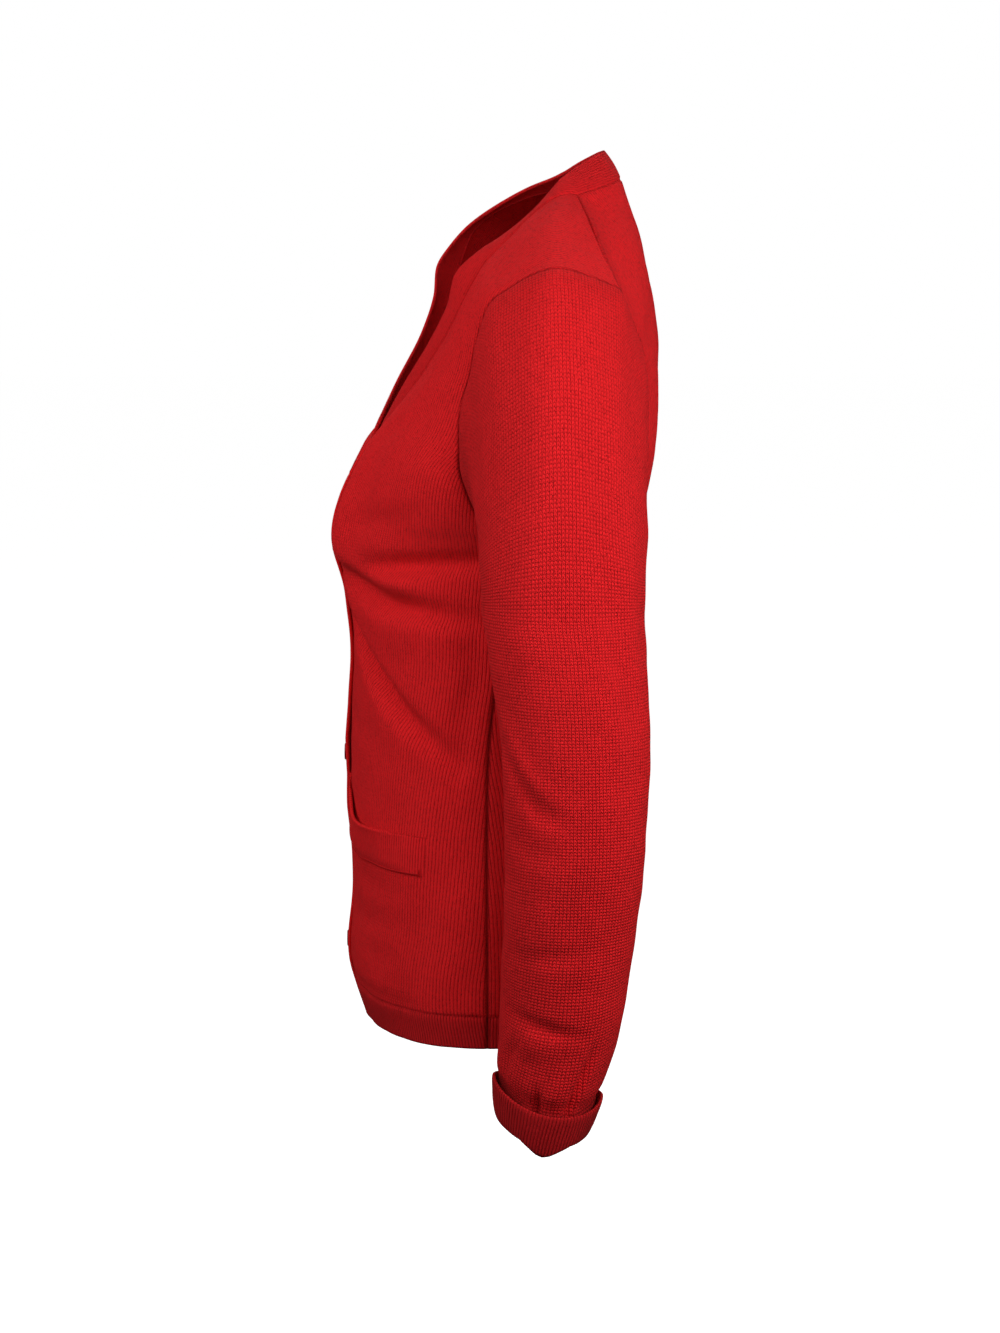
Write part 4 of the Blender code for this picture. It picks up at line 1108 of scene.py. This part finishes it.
def strand(name, path, out, radius, finish, stitch=0.0, closed=False):
    """A thread along a path; with a stitch length it swells and narrows as worked stitches do."""
    path = np.asarray(path, float)
    step = (stitch or 4 * radius) / 6
    along = lengths(np.concatenate([path, path[:1]]) if closed else path)
    count = max(3, int(round(along[-1] / step)))
    line = divide(np.concatenate([path, path[:1]]) if closed else path, count)
    place = np.linspace(0, along[-1], count + 1)
    size = np.full(count + 1, radius)
    if stitch:
        size *= 0.72 + 0.28 * np.abs(np.sin(pi * place / stitch))
    if closed:
        line, size, place = line[:-1], size[:-1], place[:-1]
        run = np.roll(line, -1, axis=0) - np.roll(line, 1, axis=0)
    else:
        run = np.gradient(line, axis=0)
        size[[0, -1]] *= 0.3
    out = np.broadcast_to(np.asarray(out, float), line.shape)
    side = np.cross(run, out)
    side /= np.linalg.norm(side, axis=1, keepdims=True)
    up = np.cross(side, run)
    up /= np.linalg.norm(up, axis=1, keepdims=True)
    turn = 2 * pi * np.arange(STRAND_SIDES) / STRAND_SIDES
    rings = line[:, None] + size[:, None, None] * (
        np.cos(turn)[None, :, None] * side[:, None] + np.sin(turn)[None, :, None] * up[:, None]
    )
    rows = len(line)
    faces, r, c = lattice(rows, STRAND_SIDES, closed)
    spots = np.stack([c * radius, r * along[-1] / count], axis=-1)[:, ::-1].reshape(-1, 2)
    faces = [tuple(face) for face in faces[:, ::-1].tolist()]  # turned to look outwards
    if not closed:
        ends = np.arange(STRAND_SIDES), (rows - 1) * STRAND_SIDES + np.arange(STRAND_SIDES)[::-1]
        faces += [tuple(end.tolist()) for end in ends]
        spots = np.concatenate([spots, np.zeros((2 * STRAND_SIDES, 2))])
    made = piece(name, rings.reshape(-1, 3), faces, spots, finish)
    return made


def thread(name, colour, twist):
    """Sewing thread: plied strands that cross it at a slant."""
    made = Finish(name)
    around, along, _ = made.apart(made.node("UVMap", {"uv_map": "knit"}))
    ply = ((around * 0.6 + along) / twist).of("FRACT") * 2 - 1
    raised = 1 - ply * ply
    body = made.node("TexCoord", None, output=3)
    fuzz = made.node("TexNoise", None, body, Scale=3000.0, Detail=2.0)
    painted_hollow_shade = np.multiply(colour, (0.35, 0.3, 0.3))
    # Painted shade in the hollows between the plies.
    mixed = made.blend(0.25 + raised * 0.6 + (fuzz - 0.5) * 0.3, painted_hollow_shade, colour)
    bump = made.node("Bump", None, Strength=0.9, Distance=0.0002, Height=raised + fuzz * 0.2)
    return made.surface(
        Base_Color=mixed,
        Roughness=0.85 + (fuzz - 0.5) * 0.2,
        Normal=bump,
        Specular_IOR_Level=0.08,
    )


seam_thread = thread("seam thread", (0.70, 0.011, 0.014), 0.0006)
for number in range(BUTTON_COUNT):
    height = BUTTON_TOP - number * BUTTON_PITCH
    turn = np.linspace(0, 2 * pi, 48, endpoint=False)
    reach = (HOLE_TOP - HOLE_BOTTOM) / 2 - HOLE_HALF_WIDTH
    x = HOLE_HALF_WIDTH * np.cos(turn)
    z = height + (HOLE_TOP + HOLE_BOTTOM) / 2 + HOLE_HALF_WIDTH * np.sin(turn)
    z += reach * np.sign(np.sin(turn) + 1e-9)
    y = np.interp(z, band_middle[:, 2], band_middle[:, 1])
    path = np.stack([x, y, z], axis=1)
    path[:, 1] += drawn_back(path) - 0.0001
    strand(
        f"buttonhole_stitch_{number + 1}", path, (0, -1, 0), STITCH_RADIUS, seam_thread,
        stitch=STITCH_PITCH, closed=True,
    )


# ================================================================ buttons
# Six small dyed four-hole buttons with a round rim and a dished face, turned and polished. Each
# is sewn on with crossed-over thread and stands on a short thread shank.
BUTTON_RADIUS, BUTTON_DEPTH, BUTTON_STAND = 0.0058, 0.0022, 0.0003
RIM, DISH_SLOPE, DISH_DEPTH = 0.0012, 0.0006, 0.0006
FACE_ROUND, BACK_ROUND, RIM_ROUND, NEAR = 0.00075, 0.0006, 0.0003, 1e-5
THREAD_HOLE, THREAD_HOLE_OUT, SEWING, SHANK = 0.00062, 0.0013, 0.00024, 0.0011


def round_edges(solid, out, height, offset, segments):
    """Round the circle of edges that lies so far out from the middle and so high."""
    bpy.ops.object.mode_set(mode="EDIT")
    bpy.ops.mesh.select_mode(type="EDGE")
    bpy.ops.mesh.select_all(action="DESELECT")
    bpy.ops.object.mode_set(mode="OBJECT")
    points = [solid.data.vertices[v].co for edge in solid.data.edges for v in edge.vertices]
    on = [abs(co.xy.length - out) < NEAR and abs(co.z - height) < NEAR for co in points]
    for edge, one, other in zip(solid.data.edges, on[::2], on[1::2]):
        edge.select = one and other
    bpy.ops.object.mode_set(mode="EDIT")
    bpy.ops.mesh.bevel(offset=offset, segments=segments)


def button_blank():
    """One button that faces up, with its back on the floor plane."""
    bpy.ops.object.select_all(action="DESELECT")
    bpy.ops.mesh.primitive_cylinder_add(
        vertices=64, radius=BUTTON_RADIUS, depth=BUTTON_DEPTH, location=(0, 0, BUTTON_DEPTH / 2)
    )
    solid = bpy.context.object
    bpy.ops.object.transform_apply(location=True, rotation=True, scale=True)
    bpy.ops.object.mode_set(mode="EDIT")
    bpy.ops.mesh.select_mode(type="FACE")
    bpy.ops.mesh.select_all(action="DESELECT")
    bpy.ops.object.mode_set(mode="OBJECT")
    max(solid.data.polygons, key=lambda face: face.area * face.normal.z).select = True
    bpy.ops.object.mode_set(mode="EDIT")
    bpy.ops.mesh.inset(thickness=RIM)
    bpy.ops.mesh.inset(thickness=DISH_SLOPE, depth=-DISH_DEPTH)
    round_edges(solid, BUTTON_RADIUS, BUTTON_DEPTH, FACE_ROUND, 5)
    round_edges(solid, BUTTON_RADIUS, 0, BACK_ROUND, 3)
    round_edges(solid, BUTTON_RADIUS - RIM, BUTTON_DEPTH, RIM_ROUND, 3)
    bpy.ops.object.mode_set(mode="OBJECT")
    for across in (-1, 1):
        for up in (-1, 1):
            bpy.ops.object.select_all(action="DESELECT")
            middle = (across * THREAD_HOLE_OUT, up * THREAD_HOLE_OUT, BUTTON_DEPTH / 2)
            bpy.ops.mesh.primitive_cylinder_add(
                vertices=20, radius=THREAD_HOLE, depth=3 * BUTTON_DEPTH, location=middle
            )
            drill = bpy.context.object
            bore = solid.modifiers.new("thread hole", "BOOLEAN")
            bore.object = drill
            bore.operation = "DIFFERENCE"
            bpy.context.view_layer.objects.active = solid
            bpy.ops.object.modifier_apply(modifier=bore.name)
            bpy.data.objects.remove(drill, do_unlink=True)
    bpy.ops.object.select_all(action="DESELECT")
    solid.select_set(True)
    bpy.context.view_layer.objects.active = solid
    bpy.ops.object.shade_smooth_by_angle(angle=radians(35))
    return solid


def button_finish():
    """Polished polyester: clouded dark red, fine turning marks on the face, a duller worn rim."""
    made = Finish("button polyester")
    across, up, _ = made.apart(made.node("UVMap", {"uv_map": "face"}))
    from_middle = (across * across + up * up) ** 0.5
    body = made.node("TexCoord", None, output=3)
    cloud = made.node("TexNoise", None, body, Scale=420.0, Detail=3.0, Distortion=0.8)
    scuff = made.node("TexNoise", None, body, Scale=2600.0, Detail=2.0)
    worn = ((from_middle - 0.0050) * 900.0).clamped()
    amount = cloud * 0.75 + worn * 0.25
    mixed = made.blend(amount, (0.150, 0.004, 0.006), (0.420, 0.010, 0.014))
    marks = (from_middle * 26000.0).of("SINE")
    bump = made.node("Bump", None, Strength=0.25, Distance=0.00003, Height=marks + scuff * 1.5)
    return made.surface(
        Base_Color=mixed,
        Roughness=0.34 + worn * 0.16 + (scuff - 0.5) * 0.12,
        Normal=bump,
        Coat_Weight=0.10,
        Coat_Roughness=0.2,
        Specular_IOR_Level=0.3,
    )


blank = button_blank()
face_map = blank.data.uv_layers.new(name="face")
for corner in blank.data.loops:
    face_map.data[corner.index].uv = blank.data.vertices[corner.vertex_index].co.xy
face_map.active_render = True
blank.data.materials.clear()
blank.data.materials.append(button_finish())
button_thread = thread("button thread", (0.55, 0.010, 0.013), 0.0005)
for number in range(BUTTON_COUNT):
    height = BUTTON_TOP - number * BUTTON_PITCH
    low, high = (
        np.interp(height + d, band_middle[:, 2], band_middle[:, 1])
        for d in (-BUTTON_RADIUS, BUTTON_RADIUS)
    )
    tilt = np.arctan2(high - low, 2 * BUTTON_RADIUS)
    facing, upright = np.array([0, -cos(tilt), sin(tilt)]), np.array([0, sin(tilt), cos(tilt)])
    seat = np.array([0, (low + high) / 2 + mm(DIMPLES[number]), height]) + facing * BUTTON_STAND
    turned = Matrix(((1, 0, 0), upright, facing)).transposed().to_4x4()
    mesh = blank.data.copy()
    mesh.transform(Matrix.Translation(seat) @ turned)
    button = bpy.data.objects.new(f"sewn_button_{number + 1}", mesh)
    bpy.context.scene.collection.objects.link(button)
    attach(button, "root")
    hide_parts(f"button_{number + 1}")
    for row, up in (("upper", 1), ("lower", -1)):
        for place, shift in enumerate((-1, 0, 1)):
            off = up * THREAD_HOLE_OUT + shift * 1.7 * SEWING
            t = np.linspace(0, pi, 13)[:, None]
            rise = BUTTON_DEPTH - DISH_DEPTH - 0.0006 + 0.0010 * np.sin(t)
            line = seat + THREAD_HOLE_OUT * np.cos(t) * (1, 0, 0) + upright * off + facing * rise
            name = f"button_{row}_thread_{number + 1}_{place + 1}"
            strand(name, line, facing, SEWING, button_thread)
    shank = [seat + facing * t for t in np.linspace(0.0003, -BUTTON_STAND - 0.0022, 6)]
    strand(f"button_shank_{number + 1}", shank, upright, SHANK, button_thread)
bpy.data.objects.remove(blank, do_unlink=True)


# ================================================================ pocket welts
# Each inset pocket has a rib welt that is stitched on the front along its lower edge and at both
# ends. Its mouth stands a little open, and its inner end curves up.
WELT_SIDES = (36, 178)  # distance of its ends from the front edge
WELT_TOP, WELT_BOTTOM = -391, -416.5
WELT_RISE = (24, 11)  # how far its inner end's top and bottom lie above those heights
WELT_LEVEL_FROM = 90
WELT_GAPE, WELT_LIFT = 3.6, 0.0002
WELT_SINK = (1.6, 11)  # its outer end is linked into the front: how deep and over what length
WELT_CUT, WELT_AREA = (0.143, 0.034), 0.0044
WELT_SEAM_LIFT = 0.0007  # height of its seam's stitches over the front
WELT_STITCH = 0.0020
POUCH_CUT = (0.136, 0.108)
POUCH_BOTTOM, POUCH_TOP, POUCH_WALL = -493, -384, 0.0012
POUCH_PUFF = 4.0  # how far it stands off the front, inside the garment


def on_front(grid, flat, away, along, height):
    """Point and outward direction of a front at a distance from its edge and a height, in mm."""
    r = int(np.clip(np.searchsorted(flat[:, 0, 1], height) - 1, 0, len(grid) - 2))
    up = (height - flat[r, 0, 1]) / (flat[r + 1, 0, 1] - flat[r, 0, 1])
    found = []
    for field in (grid, away):
        low, high = (
            np.array([np.interp(along, flat[k, :, 0], field[k, :, axis]) for axis in range(3)])
            for k in (r, r + 1)
        )
        found.append(low * (1 - up) + high * up)
    return found[0], found[1] / np.linalg.norm(found[1])


def over_front(front, steps, alongs, height_at, lift_at):
    """Outer points that follow a front, and their places in the knit, both in metres."""
    points, wales = [], []
    for step in steps:
        for along in alongs:
            height = height_at(along, step)
            place, out = on_front(*front, along, height)
            points.append(place + out * lift_at(along, step))
            wales.append((along, height))
    shape = (len(steps), len(alongs), -1)
    return np.reshape(points, shape), mm(wales).reshape(shape)


def curl(along):
    """How far the welt curves up, as a share, at a distance from the front edge."""
    first = WELT_SIDES[0]
    return np.clip((WELT_LEVEL_FROM - along) / (WELT_LEVEL_FROM - first), 0, 1) ** 1.6


def welt_height(along, step):
    top = WELT_TOP + WELT_RISE[0] * curl(along)
    bottom = WELT_BOTTOM + WELT_RISE[1] * curl(along)
    return bottom + (top - bottom) * step


def bow(along):
    """A curve that rises from both ends of the pocket to 1 at its middle."""
    first, last = WELT_SIDES
    return sin(pi * (along - first) / (last - first))


def welt_lift(along, step):
    open_by = mm(WELT_GAPE) * bow(along) ** 1.5 * step**2
    sunk = mm(WELT_SINK[0]) * max(0.0, 1 - (WELT_SIDES[1] - along) / WELT_SINK[1])
    return WELT_LIFT + BAND_WALL + open_by - sunk


def pouch_height(along, step):
    return POUCH_BOTTOM + (POUCH_TOP - POUCH_BOTTOM) * step


def pouch_lift(along, step):
    return -WALL - 2 * SEAM_GAP - mm(POUCH_PUFF) * bow(along) * sin(pi * step)


first, last = WELT_SIDES
for side, grid, flat, flip in (("left", left, left_flat, 1), ("right", right, right_flat, -1)):
    turned_over = (flip, 1, 1)
    front = grid, flat, surface_normals(grid)
    rows, wales = over_front(
        front, np.linspace(0, 1, 11), np.linspace(first, last, 46), welt_height, welt_lift
    )
    welt = cloth(
        "pocket_rib_" + side, rows * turned_over, wales, BAND_WALL, rib_knit,
        outward=flip, pressed={"bottom": 0.004, "first": 0.014, "last": 0.034},
    )
    stands_for(
        welt, "pocket_welt_" + side, "rib",
        flat=WELT_CUT, area=WELT_AREA, held="laid", rests_on=("front_panel_" + side,),
    )
    for part, line in (
        ("seam", [(along, WELT_BOTTOM + 0.8) for along in np.linspace(62, last - 10, 60)]),
        ("end", [(last - 9.5, WELT_BOTTOM + up) for up in np.linspace(-0.6, 4.0, 6)]),
    ):
        points = []
        for along, height in line:
            place, out = on_front(*front, along, height + WELT_RISE[1] * curl(along))
            points.append(place + out * WELT_SEAM_LIFT)
        strand(
            f"pocket_{part}_stitch_{side}", np.array(points) * turned_over, out * turned_over,
            STITCH_RADIUS, seam_thread, stitch=WELT_STITCH,
        )

    rows, wales = over_front(
        front, np.linspace(0, 1, 27), np.linspace(first, last, 36), pouch_height, pouch_lift
    )
    pouch = cloth(
        "pocket_pouch_" + side, rows * turned_over, wales, POUCH_WALL, body_knit, outward=flip
    )
    stands_for(
        pouch, "pocket_bag_" + side, "knit",
        flat=POUCH_CUT, held="hung", rests_on=("front_panel_" + side,),
    )
